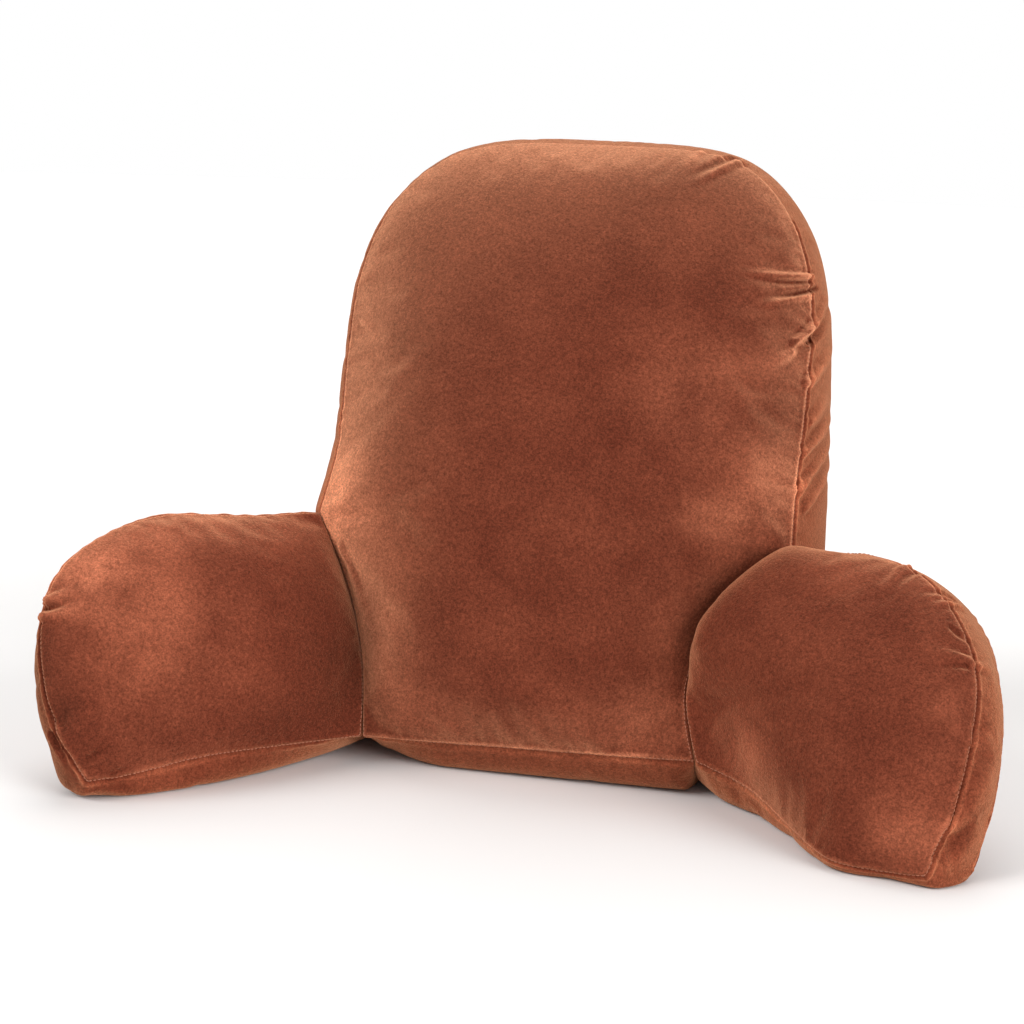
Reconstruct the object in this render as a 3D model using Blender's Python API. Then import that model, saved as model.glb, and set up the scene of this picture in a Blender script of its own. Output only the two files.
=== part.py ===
"""Reading pillow with arms: a wedge-shaped filled backrest between two splayed, mitten-shaped arms.

Each cushion is one filled solid: two crowned panels joined by a gusset, the strip that runs round
their edges. +X is the width, +Y runs to the back and +Z is up. The pillow stands on z = 0, with its
origin under the middle of its bounding box.
"""
from math import cos, pi, radians, sin

import bmesh
import bpy
import numpy as np

# ---- driving dimensions, in metres ------------------------------------------------------------

RECLINE = radians(23.0)            # lean of the front panel from upright
FACE_HEIGHT = 0.577                # front panel, from bottom seam to top seam along the panel
SEAM_LIFT = 0.031                  # bottom seams above the floor, in front
REAR_SEAM_LIFT = 0.020             # and at the back
BASE_DEPTH = 0.180                 # backrest at the floor, front seam to back seam
TOP_DEPTH = 0.100                  # backrest at its top, front seam to back seam
FOOT_Y = -0.0746                   # front bottom seam in y, which leaves the origin in the middle

HINGE_FOOT_HALF = 0.153            # half width of the front panel at its foot
HINGE_TOP_HALF = 0.221             # half width where the arms' top seams meet it
HINGE_TOP_UP = 0.200               # height of that meeting point along the front panel
HINGE_REAR_UP = 0.165              # and along the back panel
HINGE_BOW = 0.016                  # the arms' round roots press this far into the backrest's back
HINGE_TOE = 0.18                   # the backrest widens this much for each unit of depth
HINGE_SAG = 0.040                  # sag of the walls' lower edges between front and back
PART_GAP = 0.00035                 # parting between a cushion and its neighbour

BASE_SWELL = 0.055                 # how far a gusset sinks underneath, before the floor flattens it
BASE_REACH = 0.050                 # the sinking ends at this height of the seam
CORNER_LIFT = 0.65                 # and loses this share at an arm's lower front corner

# Filling of each kind of cushion: rise of its near and far panels above their seams, how far its
# gusset bows out low down and near the top, the length of seam over which that grows from a hinge,
# how much more firmly it is filled beside the hinge, and how slack the panels are left low down at
# the left and right hinges, as a share of the crown.
BACKREST_FILL = {"near_crown": 0.072, "far_crown": 0.030, "swell": 0.016, "top_swell": 0.016,
                 "swell_run": 0.001, "hinge_stuffing": 0.0, "slack": (0.0, 0.75)}
ARM_FILL = {"near_crown": 0.047, "far_crown": 0.028, "swell": 0.009, "top_swell": 0.002,
            "swell_run": 0.050, "slack": (0.8, 0.85)}
STUFFING_REACH = 0.100             # that firmer filling fades out over this distance
SWELL_LOW, SWELL_HIGH = 0.10, 0.20 # heights between which the bowing out changes
SLACK_LOW, SLACK_HIGH = 0.06, 0.15 # and between which the panels fill up beside a hinge
SLACK_REACH = 0.060                # this near the hinge

# How full the curved surfaces look. A panel is flatter in the middle and rounder at its edge with a
# lower number, the other three with a higher one.
PANEL_ROUND = 0.72                 # a panel, as a power of the rise of a sheet under even pressure
GUSSET_ROUND = 2.2                 # a gusset's bow, as a power of the distance from its middle
BASE_ROUND = 4.0                   # and its bottom, under the weight of the filling
SAG_ROUND = 0.7                    # the sagging lower edge of a hinge's wall

# The left and right hinges: lift of the front foot against SEAM_LIFT, how far the arm's root presses
# into the backrest in front, lengths of bottom seam over which the bases beside it come down to the
# floor, and the delay of the sag behind the front seam.
HINGES = {
    -1: {"lift": -0.005, "root": 0.016, "backrest_run": 0.085, "arm_run": 0.150, "delay": 2.4},
    1: {"lift": 0.005, "root": 0.042, "backrest_run": 0.015, "arm_run": 0.030, "delay": 1.1},
}

# Outline of the backrest above the hinge tops: half widths of the front and back panels, and how
# far the stuffing has pushed them sideways, against the share of the height that is left.
FACE_OUTLINE = [
    {"share": 0.18, "front": 0.216, "rear": 0.222, "shift": 0.004},
    {"share": 0.40, "front": 0.218, "rear": 0.215, "shift": 0.003},
    {"share": 0.62, "front": 0.215, "rear": 0.206, "shift": 0.002},
    {"share": 0.80, "front": 0.194, "rear": 0.187, "shift": 0.002},
    {"share": 0.93, "front": 0.152, "rear": 0.147, "shift": 0.005},
    {"share": 0.985, "front": 0.096, "rear": 0.092, "shift": 0.010},
    {"share": 0.995, "front": 0.0, "rear": 0.0, "shift": 0.008},
]

# Edges of an arm's inner panel, measured in the panel from the hinge's foot. forward and up lie in
# the panel and bow is out of it. out, back and drop lead across the gusset to the outer panel.
LEFT_ARM_FOOT = [
    {"forward": 0.060, "up": 0.003, "bow": 0.000, "out": 0.070, "back": 0.100, "drop": 0.010},
    {"forward": 0.150, "up": 0.005, "bow": 0.005, "out": 0.058, "back": 0.062, "drop": 0.008},
    {"forward": 0.215, "up": 0.000, "bow": 0.004, "out": 0.044, "back": 0.048, "drop": 0.004},
]
LEFT_ARM_EDGE = [
    {"forward": 0.258, "up": 0.000, "bow": 0.0, "out": 0.034, "back": 0.038, "drop": 0.000},
    {"forward": 0.275, "up": 0.045, "bow": 0.0, "out": 0.027, "back": 0.040, "drop": 0.004},
    {"forward": 0.279, "up": 0.095, "bow": 0.0, "out": 0.016, "back": 0.044, "drop": 0.010},
    {"forward": 0.272, "up": 0.145, "bow": 0.0, "out": 0.008, "back": 0.048, "drop": 0.016},
    {"forward": 0.250, "up": 0.186, "bow": 0.0, "out": 0.004, "back": 0.054, "drop": 0.022},
    {"forward": 0.208, "up": 0.214, "bow": 0.0, "out": 0.004, "back": 0.066, "drop": 0.028},
    {"forward": 0.145, "up": 0.229, "bow": 0.0, "out": 0.002, "back": 0.088, "drop": 0.036},
    {"forward": 0.060, "up": 0.219, "bow": 0.0, "out": 0.002, "back": 0.112, "drop": 0.040},
]
RIGHT_ARM_FOOT = [
    {"forward": 0.055, "up": 0.000, "bow": -0.008, "out": 0.070, "back": 0.100, "drop": 0.004},
    {"forward": 0.110, "up": -0.012, "bow": -0.002, "out": 0.066, "back": 0.084, "drop": 0.000},
    {"forward": 0.150, "up": -0.020, "bow": 0.014, "out": 0.061, "back": 0.070, "drop": 0.000},
    {"forward": 0.185, "up": -0.023, "bow": 0.021, "out": 0.056, "back": 0.060, "drop": 0.000},
    {"forward": 0.220, "up": -0.013, "bow": 0.006, "out": 0.050, "back": 0.047, "drop": 0.000},
]
RIGHT_ARM_EDGE = [
    {"forward": 0.253, "up": 0.000, "bow": 0.0, "out": 0.037, "back": 0.036, "drop": 0.000},
    {"forward": 0.250, "up": 0.055, "bow": 0.0, "out": 0.031, "back": 0.040, "drop": 0.004},
    {"forward": 0.237, "up": 0.112, "bow": 0.0, "out": 0.023, "back": 0.044, "drop": 0.010},
    {"forward": 0.216, "up": 0.163, "bow": 0.0, "out": 0.016, "back": 0.050, "drop": 0.020},
    {"forward": 0.181, "up": 0.199, "bow": 0.0, "out": 0.029, "back": 0.060, "drop": 0.023},
    {"forward": 0.132, "up": 0.225, "bow": 0.0, "out": 0.020, "back": 0.082, "drop": 0.032},
    {"forward": 0.085, "up": 0.228, "bow": 0.0, "out": 0.006, "back": 0.100, "drop": 0.038},
    {"forward": 0.040, "up": 0.217, "bow": 0.0, "out": 0.004, "back": 0.118, "drop": 0.040},
]

# splay turns an arm outwards from straight ahead, dip is the fall of its bottom seam,
# hinge_stuffing is how much more firmly it is filled beside its hinge, and corner_run is how far
# from its lower front corner the base stays raised.
ARMS = [
    {"name": "arm_left", "side": -1, "splay": radians(48.8), "dip": 0.03,
     "hinge_stuffing": 0.0, "corner_run": 0.040, "foot": LEFT_ARM_FOOT, "edge": LEFT_ARM_EDGE},
    {"name": "arm_right", "side": 1, "splay": radians(55.0), "dip": 0.10,
     "hinge_stuffing": 1.0, "corner_run": 0.130, "foot": RIGHT_ARM_FOOT, "edge": RIGHT_ARM_EDGE},
]

# ---- mesh density -----------------------------------------------------------------------------

HINGE_STEPS = 10                   # along each hinge
FOOT_STEPS = 16                    # along the backrest's bottom seam
SHELL_STEPS = 46                   # from hinge top over the backrest to hinge top
ARM_FOOT_STEPS = 14                # along an arm's bottom seam
ARM_EDGE_STEPS = 26                # from an arm's lower front corner round to the hinge top
PANEL_RINGS = 12                   # from a panel's middle to its seam
GUSSET_ROWS = 10                   # across a gusset


# ---- curves -----------------------------------------------------------------------------------

def spaced(points, steps):
    """Evenly spaced points along a run of points."""
    run = np.r_[0, np.cumsum(np.linalg.norm(np.diff(points[:, :3], axis=0), axis=1))]
    marks = np.linspace(0, run[-1], steps + 1)
    return np.stack([np.interp(marks, run, column) for column in points.T], axis=1)


def smooth_curve(points, steps):
    """Evenly spaced points of a smooth curve through the given ones."""
    points = np.asarray(points, float)
    padded = np.vstack([2 * points[0] - points[1], points, 2 * points[-1] - points[-2]])
    dense = []
    for p0, p1, p2, p3 in zip(padded, padded[1:], padded[2:], padded[3:]):
        for t in np.linspace(0, 1, 24, endpoint=False):
            bend = (2 * p0 - 5 * p1 + 4 * p2 - p3) * t ** 2 + (3 * p1 - p0 - 3 * p2 + p3) * t ** 3
            dense.append(0.5 * (2 * p1 + (p2 - p0) * t + bend))
    dense.append(points[-1])
    return spaced(np.array(dense), steps)


def eased(share):
    """0 to 1 with a soft start and end."""
    share = np.clip(share, 0, 1)
    return share * share * (3 - 2 * share)


# ---- the backrest's two panel planes ----------------------------------------------------------

REAR_TOP_Y = FACE_HEIGHT * sin(RECLINE) + TOP_DEPTH * cos(RECLINE)
REAR_TOP_Z = SEAM_LIFT + FACE_HEIGHT * cos(RECLINE) - TOP_DEPTH * sin(RECLINE)


def on_front(half, up):
    """Point of the front panel's plane."""
    return np.array([half, FOOT_Y + up * sin(RECLINE), SEAM_LIFT + up * cos(RECLINE)])


def on_rear(half, up):
    """Point of the back panel's plane, at the same share of its height."""
    share = up / FACE_HEIGHT
    y = FOOT_Y + BASE_DEPTH + share * (REAR_TOP_Y - BASE_DEPTH)
    z = REAR_SEAM_LIFT + share * (REAR_TOP_Z - REAR_SEAM_LIFT)
    return np.array([half, y, z])


# ---- the walls in which the arms' roots meet the backrest --------------------------------------

def wall_half(y, z, share, across, root):
    """Half width of such a wall at a depth and a height, by the shares of its length and depth."""
    foot = on_front(0, 0)
    top = on_front(0, HINGE_TOP_UP)
    toe = HINGE_TOE * (top[1] - foot[1])
    slope = (HINGE_TOP_HALF - HINGE_FOOT_HALF - toe) / (top[2] - foot[2])
    straight = HINGE_FOOT_HALF + HINGE_TOE * (y - foot[1]) + slope * (z - foot[2])
    flare = BACKREST_FILL["swell"] * (1 - abs(2 * across - 1) ** GUSSET_ROUND) * eased(2 * share - 1)
    bow = root * (1 - across) + HINGE_BOW * across
    return straight - bow * np.sin(pi * share) + flare


def hinge_wall(side, outward):
    """Grid of a wall's points: a row for each step across the gusset, each from foot to top."""
    shares = np.linspace(0, 1, HINGE_STEPS + 1)
    front = np.array([on_front(0, share * HINGE_TOP_UP) for share in shares])
    rear = np.array([on_rear(0, share * HINGE_REAR_UP) for share in shares])
    front[:, 2] += HINGES[side]["lift"] * (1 - shares)
    rows = []
    for across in np.linspace(0, 1, GUSSET_ROWS + 1):
        row = front * (1 - across) + rear * across
        row[0, 2] -= HINGE_SAG * abs(sin(pi * across ** HINGES[side]["delay"])) ** SAG_ROUND
        half = wall_half(row[:, 1], row[:, 2], shares, across, HINGES[side]["root"])
        row[:, 0] = side * (half + outward)
        rows.append(row)
    return np.array(rows)


# ---- panel edges ------------------------------------------------------------------------------

def backrest_edges():
    """Front and back panel edges: foot, right hinge, over the top, left hinge."""
    right, left = hinge_wall(1, 0), hinge_wall(-1, 0)
    rise = FACE_HEIGHT - HINGE_TOP_UP
    halves = []
    for side, wall in ((1, right), (-1, left)):
        half = [np.r_[wall[0, -1], wall[-1, -1]]]
        for row in FACE_OUTLINE:
            up = HINGE_TOP_UP + row["share"] * rise
            front_x, rear_x = (side * row[panel] + row["shift"] for panel in ("front", "rear"))
            half.append(np.r_[on_front(front_x, up), on_rear(rear_x, up)])
        halves.append(half)
    shell = smooth_curve(halves[0] + halves[1][-2::-1], SHELL_STEPS)
    foot = smooth_curve([np.r_[wall[0, 0], wall[-1, 0]] for wall in (left, right)], FOOT_STEPS)
    front = [foot[:-1, :3], right[0, :-1], shell[:-1, :3], left[0, :0:-1]]
    rear = [foot[:-1, 3:], right[-1, :-1], shell[:-1, 3:], left[-1, :0:-1]]
    front, rear = np.vstack(front), np.vstack(rear)
    left_start = FOOT_STEPS + HINGE_STEPS + SHELL_STEPS
    hinged = {}
    for i in range(HINGE_STEPS + 1):
        hinged[FOOT_STEPS + i] = (right, i)
        hinged[(left_start + i) % len(front)] = (left, HINGE_STEPS - i)
    return front, rear, hinged


def arm_edges(arm):
    """Inner and outer panel edges of an arm: hinge from top to foot, foot, front end and top."""
    side = arm["side"]
    wall = hinge_wall(side, PART_GAP)
    foot, top = wall[0, 0], wall[0, -1]
    ahead = np.array([side * sin(arm["splay"]), -cos(arm["splay"]), -arm["dip"]])
    ahead /= np.linalg.norm(ahead)
    upward = (top - foot) - (top - foot).dot(ahead) * ahead
    upward /= np.linalg.norm(upward)
    facing = side * np.cross(ahead, upward)

    def edge_point(row):
        inner = foot + row["forward"] * ahead + row["up"] * upward + row["bow"] * facing
        return np.r_[inner, inner + np.array([side * row["out"], row["back"], -row["drop"]])]

    foot_points = [np.r_[wall[0, 0], wall[-1, 0]]] + [edge_point(row) for row in arm["foot"]]
    edge_points = [edge_point(row) for row in arm["edge"]] + [np.r_[wall[0, -1], wall[-1, -1]]]
    foot_run = smooth_curve(foot_points + edge_points[:1], ARM_FOOT_STEPS)
    edge_run = smooth_curve(edge_points, ARM_EDGE_STEPS)
    inner = np.vstack([wall[0, :0:-1], foot_run[:-1, :3], edge_run[:-1, :3]])
    outer = np.vstack([wall[-1, :0:-1], foot_run[:-1, 3:], edge_run[:-1, 3:]])
    hinged = {i: (wall, HINGE_STEPS - i) for i in range(HINGE_STEPS + 1)}
    return inner, outer, hinged


# ---- one filled cushion -----------------------------------------------------------------------

def mean_normal(loop):
    """Unit normal of a closed run of points, by the right-hand rule."""
    middle = loop.mean(axis=0)
    total = np.cross(loop - middle, np.roll(loop, -1, axis=0) - middle).sum(axis=0)
    return total / np.linalg.norm(total)


def reach_from_hinge(loop, hinged):
    """Distance of each edge point along its seam from the nearest hinge, and where it meets that."""
    count = len(loop)
    steps = np.linalg.norm(np.roll(loop, -1, axis=0) - loop, axis=1)
    reach = np.full(count, np.inf)
    meeting = np.arange(count)
    reach[list(hinged)] = 0
    for turn in (1, -1, 1, -1):
        for i in range(count)[::turn]:
            before = (i - turn) % count
            length = reach[before] + steps[before if turn == 1 else i]
            if length < reach[i]:
                reach[i], meeting[i] = length, meeting[before]
    return reach, meeting


def gusset_rows(near, far, hinged, fill, base_runs, corner):
    """Rows across the gusset: bowed out, sunk to the floor underneath, flat against a hinge."""
    tangent = np.roll(near, -1, axis=0) - np.roll(near, 1, axis=0)
    outward = np.cross(tangent, mean_normal(near))
    outward /= np.linalg.norm(outward, axis=1)[:, None]
    reach, meeting = reach_from_hinge(near, hinged)
    base_run = np.where(near[:, 0] < 0, base_runs[0], base_runs[1])
    at_top = near[meeting, 2] > SWELL_LOW
    grown = eased(reach / np.where(at_top, fill["swell_run"], base_run))
    low = eased((BASE_REACH - near[:, 2]) / (BASE_REACH - SEAM_LIFT))
    high = eased((near[:, 2] - SWELL_LOW) / (SWELL_HIGH - SWELL_LOW))
    bow = (fill["swell"] + (fill["top_swell"] - fill["swell"]) * high) * (1 - low / 2)
    bow *= eased(reach / fill["swell_run"])
    sink = BASE_SWELL * eased(reach / base_run) * low
    if corner is not None:
        place, run = corner
        from_corner = np.linalg.norm(near - near[place], axis=1)
        sink *= 1 - CORNER_LIFT * np.exp(-(from_corner / run) ** 2)
    rows = []
    for step, across in enumerate(np.linspace(0, 1, GUSSET_ROWS + 1)):
        off_middle = abs(2 * across - 1)
        row = near * (1 - across) + far * across
        wall_edge = np.array([hinged[i][0][step, hinged[i][1]] for i in meeting])
        row += (wall_edge - row[meeting]) * (1 - grown)[:, None]
        row += outward * (bow * (1 - off_middle ** GUSSET_ROUND))[:, None]
        row[:, 2] -= sink * (1 - off_middle ** BASE_ROUND)
        rows.append(row)
    return rows


def hinge_slack(points, hinge, shares):
    """Share of the crown that is missing at each point of a panel: some of it, low down at a hinge."""
    gaps = np.linalg.norm(points[:, None] - hinge, axis=2)
    beside = hinge[gaps.argmin(axis=1)]
    low = 1 - eased((beside[:, 2] - SLACK_LOW) / (SLACK_HIGH - SLACK_LOW))
    return np.where(beside[:, 0] < 0, *shares) * low * np.exp(-(gaps.min(axis=1) / SLACK_REACH) ** 2)


def sheet_balance(points, triangles):
    """Pull of each point of an evenly stretched sheet on the others, and the area that it covers."""
    balance = np.zeros((len(points), len(points)))
    covered = np.zeros(len(points))
    for first, second, third in (triangles.T, triangles.T[[1, 2, 0]], triangles.T[[2, 0, 1]]):
        sides = points[first] - points[third], points[second] - points[third]
        doubled_area = np.linalg.norm(np.cross(*sides), axis=1)
        pull = (sides[0] * sides[1]).sum(axis=1) / doubled_area / 2
        for here, there in ((first, second), (second, first)):
            np.add.at(balance, (here, here), pull)
            np.add.at(balance, (here, there), -pull)
        np.add.at(covered, third, doubled_area / 6)
    return balance, covered


def crowned_panel(loop, outward, crown, hinge, firmness, slack_shares):
    """Middle point and rings of a panel that is held at its seam and pressed out by the filling.

    hinge holds the seam's points along the hinges, and firmness is the pressure beside each point
    of the seam.
    """
    count = len(loop)
    shares = np.r_[0, np.repeat(np.arange(1, PANEL_RINGS + 1) / PANEL_RINGS, count)][:, None]
    points = loop.mean(axis=0) + (np.vstack([loop[:1]] + [loop] * PANEL_RINGS) - loop.mean(axis=0)) * shares
    ring = np.arange(count)
    following = (ring + 1) % count
    triangles = [np.stack([0 * ring, 1 + ring, 1 + following], axis=1)]
    for start in range(1, 1 + count * (PANEL_RINGS - 1), count):
        near, far = start + ring, start + count + ring
        near_next, far_next = start + following, start + count + following
        triangles += [np.stack([near, far, far_next], axis=1), np.stack([near, far_next, near_next], axis=1)]
    balance, covered = sheet_balance(points, np.vstack(triangles))
    inside = len(points) - count
    pressure = covered * np.r_[1, 1 + (np.tile(firmness, PANEL_RINGS) - 1) * shares[1:, 0]]
    pulled = np.column_stack([-balance[:inside, inside:] @ loop, pressure[:inside]])
    sheet = np.linalg.solve(balance[:inside, :inside], pulled)
    fullness = 1 - hinge_slack(sheet[:, :3], hinge, slack_shares)
    rise = crown * (sheet[:, 3] / sheet[:, 3].max()) ** PANEL_ROUND * fullness
    settled = sheet[:, :3] + outward * rise[:, None]
    return settled[0], list(settled[1:].reshape(-1, count, 3))


def on_floor(point):
    """The point, lifted to the floor where the filling would have sunk below it."""
    return (point[0], point[1], max(point[2], 0.0))


def skin(shape, quad, first, second):
    """Adds one mesh face. Two cushions split the faces of the wall between them the same way."""
    if not (first and second):
        shape.faces.new(quad)
        return
    turned = quad if first[1] < second[1] else quad[3:] + quad[:3]
    shape.faces.new(turned[:3])
    shape.faces.new((turned[0], turned[2], turned[3]))


def cushion(name, near, far, hinged, fill, base_runs, corner=None):
    """One closed filled solid between two panel edges, linked to the scene."""
    turn = np.sign(mean_normal(near).dot(near.mean(axis=0) - far.mean(axis=0)))
    firmness = 1 + fill["hinge_stuffing"] * np.exp(-reach_from_hinge(near, hinged)[0] / STUFFING_REACH)
    panels = [crowned_panel(loop, outward, crown, loop[list(hinged)], firmness, fill["slack"])
              for loop, outward, crown in ((near, turn * mean_normal(near), fill["near_crown"]),
                                           (far, -turn * mean_normal(far), fill["far_crown"]))]
    (near_middle, near_rings), (far_middle, far_rings) = panels
    strip = gusset_rows(near, far, hinged, fill, base_runs, corner)
    rings = near_rings + strip + far_rings[::-1]
    shape = bmesh.new()
    rows = [[shape.verts.new(on_floor(point)) for point in ring] for ring in rings]
    tips = [shape.verts.new(on_floor(point)) for point in (near_middle, far_middle)]
    for i in range(len(near)):
        j = (i + 1) % len(near)
        shape.faces.new((tips[0], rows[0][i], rows[0][j]))
        shape.faces.new((tips[1], rows[-1][j], rows[-1][i]))
        for row, following in zip(rows, rows[1:]):
            skin(shape, (row[i], following[i], following[j], row[j]), hinged.get(i), hinged.get(j))
    bmesh.ops.recalc_face_normals(shape, faces=shape.faces)
    mesh = bpy.data.meshes.new(name)
    shape.to_mesh(mesh)
    shape.free()
    mesh.shade_smooth()
    mesh.materials.append(velvet(name + "_velvet"))
    piece = bpy.data.objects.new(name, mesh)
    bpy.context.scene.collection.objects.link(piece)
    return piece


def velvet(name):
    """Short-pile rust cover cloth."""
    material = bpy.data.materials.new(name)
    material.use_nodes = True
    shader = material.node_tree.nodes["Principled BSDF"]
    shader.inputs["Base Color"].default_value = (0.30, 0.085, 0.035, 1.0)
    shader.inputs["Roughness"].default_value = 0.9
    shader.inputs["Metallic"].default_value = 0.0
    return material


# ---- the pillow -------------------------------------------------------------------------------

for old in list(bpy.data.objects):
    bpy.data.objects.remove(old, do_unlink=True)

backrest_front, backrest_rear, backrest_hinged = backrest_edges()
cushion("backrest", backrest_front, backrest_rear, backrest_hinged, BACKREST_FILL,
        (HINGES[-1]["backrest_run"], HINGES[1]["backrest_run"]))
for pillow_arm in ARMS:
    arm_inner, arm_outer, arm_hinged = arm_edges(pillow_arm)
    arm_fill = ARM_FILL | {"hinge_stuffing": pillow_arm["hinge_stuffing"]}
    cushion(pillow_arm["name"], arm_inner, arm_outer, arm_hinged, arm_fill,
            (HINGES[-1]["arm_run"], HINGES[1]["arm_run"]),
            (HINGE_STEPS + ARM_FOOT_STEPS, pillow_arm["corner_run"]))
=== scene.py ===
"""The looks of a reading pillow with arms: three filled velvet cushions, sewn together."""
from math import cos, pi, radians, sin

import bmesh
import bpy
import numpy as np
from mathutils import Matrix, Vector, noise
from mathutils.bvhtree import BVHTree
from mathutils.geometry import delaunay_2d_cdt
from mathutils.kdtree import KDTree


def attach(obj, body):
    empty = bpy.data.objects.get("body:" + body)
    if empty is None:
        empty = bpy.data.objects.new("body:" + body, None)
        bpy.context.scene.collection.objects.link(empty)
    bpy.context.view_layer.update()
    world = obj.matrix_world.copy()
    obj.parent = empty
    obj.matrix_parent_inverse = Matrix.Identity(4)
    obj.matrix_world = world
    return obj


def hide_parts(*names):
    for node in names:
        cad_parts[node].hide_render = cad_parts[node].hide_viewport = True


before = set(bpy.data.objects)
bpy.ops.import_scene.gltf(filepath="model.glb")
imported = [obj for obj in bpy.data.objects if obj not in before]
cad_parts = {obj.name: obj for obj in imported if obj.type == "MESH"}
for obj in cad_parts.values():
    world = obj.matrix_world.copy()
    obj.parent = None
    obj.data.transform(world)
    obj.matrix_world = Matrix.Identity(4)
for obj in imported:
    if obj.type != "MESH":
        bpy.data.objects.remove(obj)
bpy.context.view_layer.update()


# ---- Camera -----------------------------------------------------------------------------------
# It stands in front of the pillow, turned a little towards the pillow's right arm, slightly above
# it, and tipped a little to one side.

CAMERA_TURN, CAMERA_RISE, CAMERA_TIP = radians(12.4), radians(12.3), radians(2.1)
CAMERA_DISTANCE = 1.81
CAMERA_AIM = Vector((-0.019, -0.0746, 0.248))
CAMERA_LENS, CAMERA_SENSOR = 72.5, 36


def placed(name, data):
    """A new object in the scene."""
    holder = bpy.data.objects.new(name, data)
    bpy.context.scene.collection.objects.link(holder)
    return holder


backward = Vector((sin(CAMERA_TURN) * cos(CAMERA_RISE), -cos(CAMERA_TURN) * cos(CAMERA_RISE),
                   sin(CAMERA_RISE)))
level = (-backward).cross(Vector((0, 0, 1))).normalized()
plumb = level.cross(-backward)
rightward = cos(CAMERA_TIP) * level + sin(CAMERA_TIP) * plumb
upward = cos(CAMERA_TIP) * plumb - sin(CAMERA_TIP) * level
camera = placed("camera", bpy.data.cameras.new("camera"))
camera.matrix_world = Matrix.Translation(CAMERA_AIM + backward * CAMERA_DISTANCE) @ Matrix(
    (rightward, upward, backward)).transposed().to_4x4()
camera.data.lens = CAMERA_LENS
camera.data.sensor_width = CAMERA_SENSOR
bpy.context.scene.camera = camera


# ---- Studio floor and light -------------------------------------------------------------------
# A plain pale floor in front of a white wall, under a tent of light: a broad lamp from the upper
# left, a lower one from the right, and one from behind that lights the rims of the pile.

FLOOR_RADIUS, FLOOR_SIDES, FLOOR_DROP = 9.0, 96, 0.0004
TENT_LIGHT = 0.36


def table(columns, *rows):
    """Rows of values, each value under its column's name."""
    return [dict(zip(columns.split(), row)) for row in rows]


def principled(name, **values):
    """A material and its Principled shader, with the shader's values set."""
    material = bpy.data.materials.new(name)
    material.use_nodes = True
    shader = material.node_tree.nodes["Principled BSDF"]
    for key, value in values.items():
        shader.inputs[key.replace("_", " ")].default_value = value
    return material, shader


LAMPS = table("name from strength softness",
    ("key", (-2.0, -1.2, 1.7), 1.7, radians(32)),
    ("side", (2.3, -1.0, 1.0), 2.2, radians(40)),
    ("rim", (-0.2, 1.5, 2.2), 1.5, radians(50)))

floor_mesh = bpy.data.meshes.new("studio_floor")
floor_mesh.from_pydata(
    [(FLOOR_RADIUS * cos(2 * pi * i / FLOOR_SIDES), FLOOR_RADIUS * sin(2 * pi * i / FLOOR_SIDES),
      -FLOOR_DROP) for i in range(FLOOR_SIDES)], [], [list(range(FLOOR_SIDES))])
floor_paint, _ = principled("studio_floor", Base_Color=(0.86, 0.85, 0.84, 1), Roughness=0.9)
floor_mesh.materials.append(floor_paint)
floor = placed("studio_floor", floor_mesh)

for lamp in LAMPS:
    light = bpy.data.lights.new(lamp["name"], "SUN")
    light.energy = lamp["strength"]
    light.angle = lamp["softness"]
    holder = placed(lamp["name"], light)
    holder.location = lamp["from"]
    holder.rotation_euler = (-Vector(lamp["from"])).to_track_quat("-Z", "Y").to_euler()

tent = bpy.data.worlds.new("light_tent")
tent.use_nodes = True
tent_nodes, tent_links = tent.node_tree.nodes, tent.node_tree.links
tent_nodes["Background"].inputs["Color"].default_value = (1, 1, 1, 1)
tent_nodes["Background"].inputs["Strength"].default_value = TENT_LIGHT
tent_wall = tent_nodes.new("ShaderNodeBackground")
tent_wall.inputs["Color"].default_value = (1, 1, 1, 1)
seen = tent_nodes.new("ShaderNodeLightPath")
either = tent_nodes.new("ShaderNodeMixShader")
tent_links.new(seen.outputs["Is Camera Ray"], either.inputs["Fac"])
tent_links.new(tent_nodes["Background"].outputs["Background"], either.inputs[1])
tent_links.new(tent_wall.outputs["Background"], either.inputs[2])
tent_links.new(either.outputs["Shader"], tent_nodes["World Output"].inputs["Surface"])
bpy.context.scene.world = tent
bpy.context.scene.view_settings.view_transform = "Standard"


# ---- Velvet -----------------------------------------------------------------------------------
# Rust short-pile velvet. The pile leans one way, so it looks darker where it points at the eye and
# paler where it has been brushed over; a sheen along its rims is painted into its colour.

PILE_INPUTS = {
    "Deep": (0.17, 0.04, 0.022, 1),
    "Brushed": (0.3, 0.09, 0.045, 1),
    "Rim": (0.5, 0.2, 0.1, 1),
    "Glow": 0.0,
    "Patch Scale": 14.0,
    "Tuft Scale": 330.0,
    "Grain Scale": 700.0,
}
PILE_NOISES = table("scale detail low high least most",
    ("Patch Scale", 5.0, 0.34, 0.68, 0.0, 1.0),
    ("Tuft Scale", 2.0, 0.3, 0.7, 0.74, 1.26),
    ("Grain Scale", 2.0, 0.3, 0.7, 0.68, 1.32))
NAP_EVEN_SHARE = 0.5                     # how much of a painted nap place is the same all over
NAP_PAINTED_TONE, NAP_PAINTED_SHEEN = 0.7, 0.3      # how much paler the painted nap light makes it, and how much more painted sheen
DARKEST = 0.2
PILE_BUMP = {"Strength": 0.8, "Distance": 0.0007}
PAINTED_SHEEN_RUN = 0.6                         # from where a panel starts to take painted sheen to where it takes the most
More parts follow.
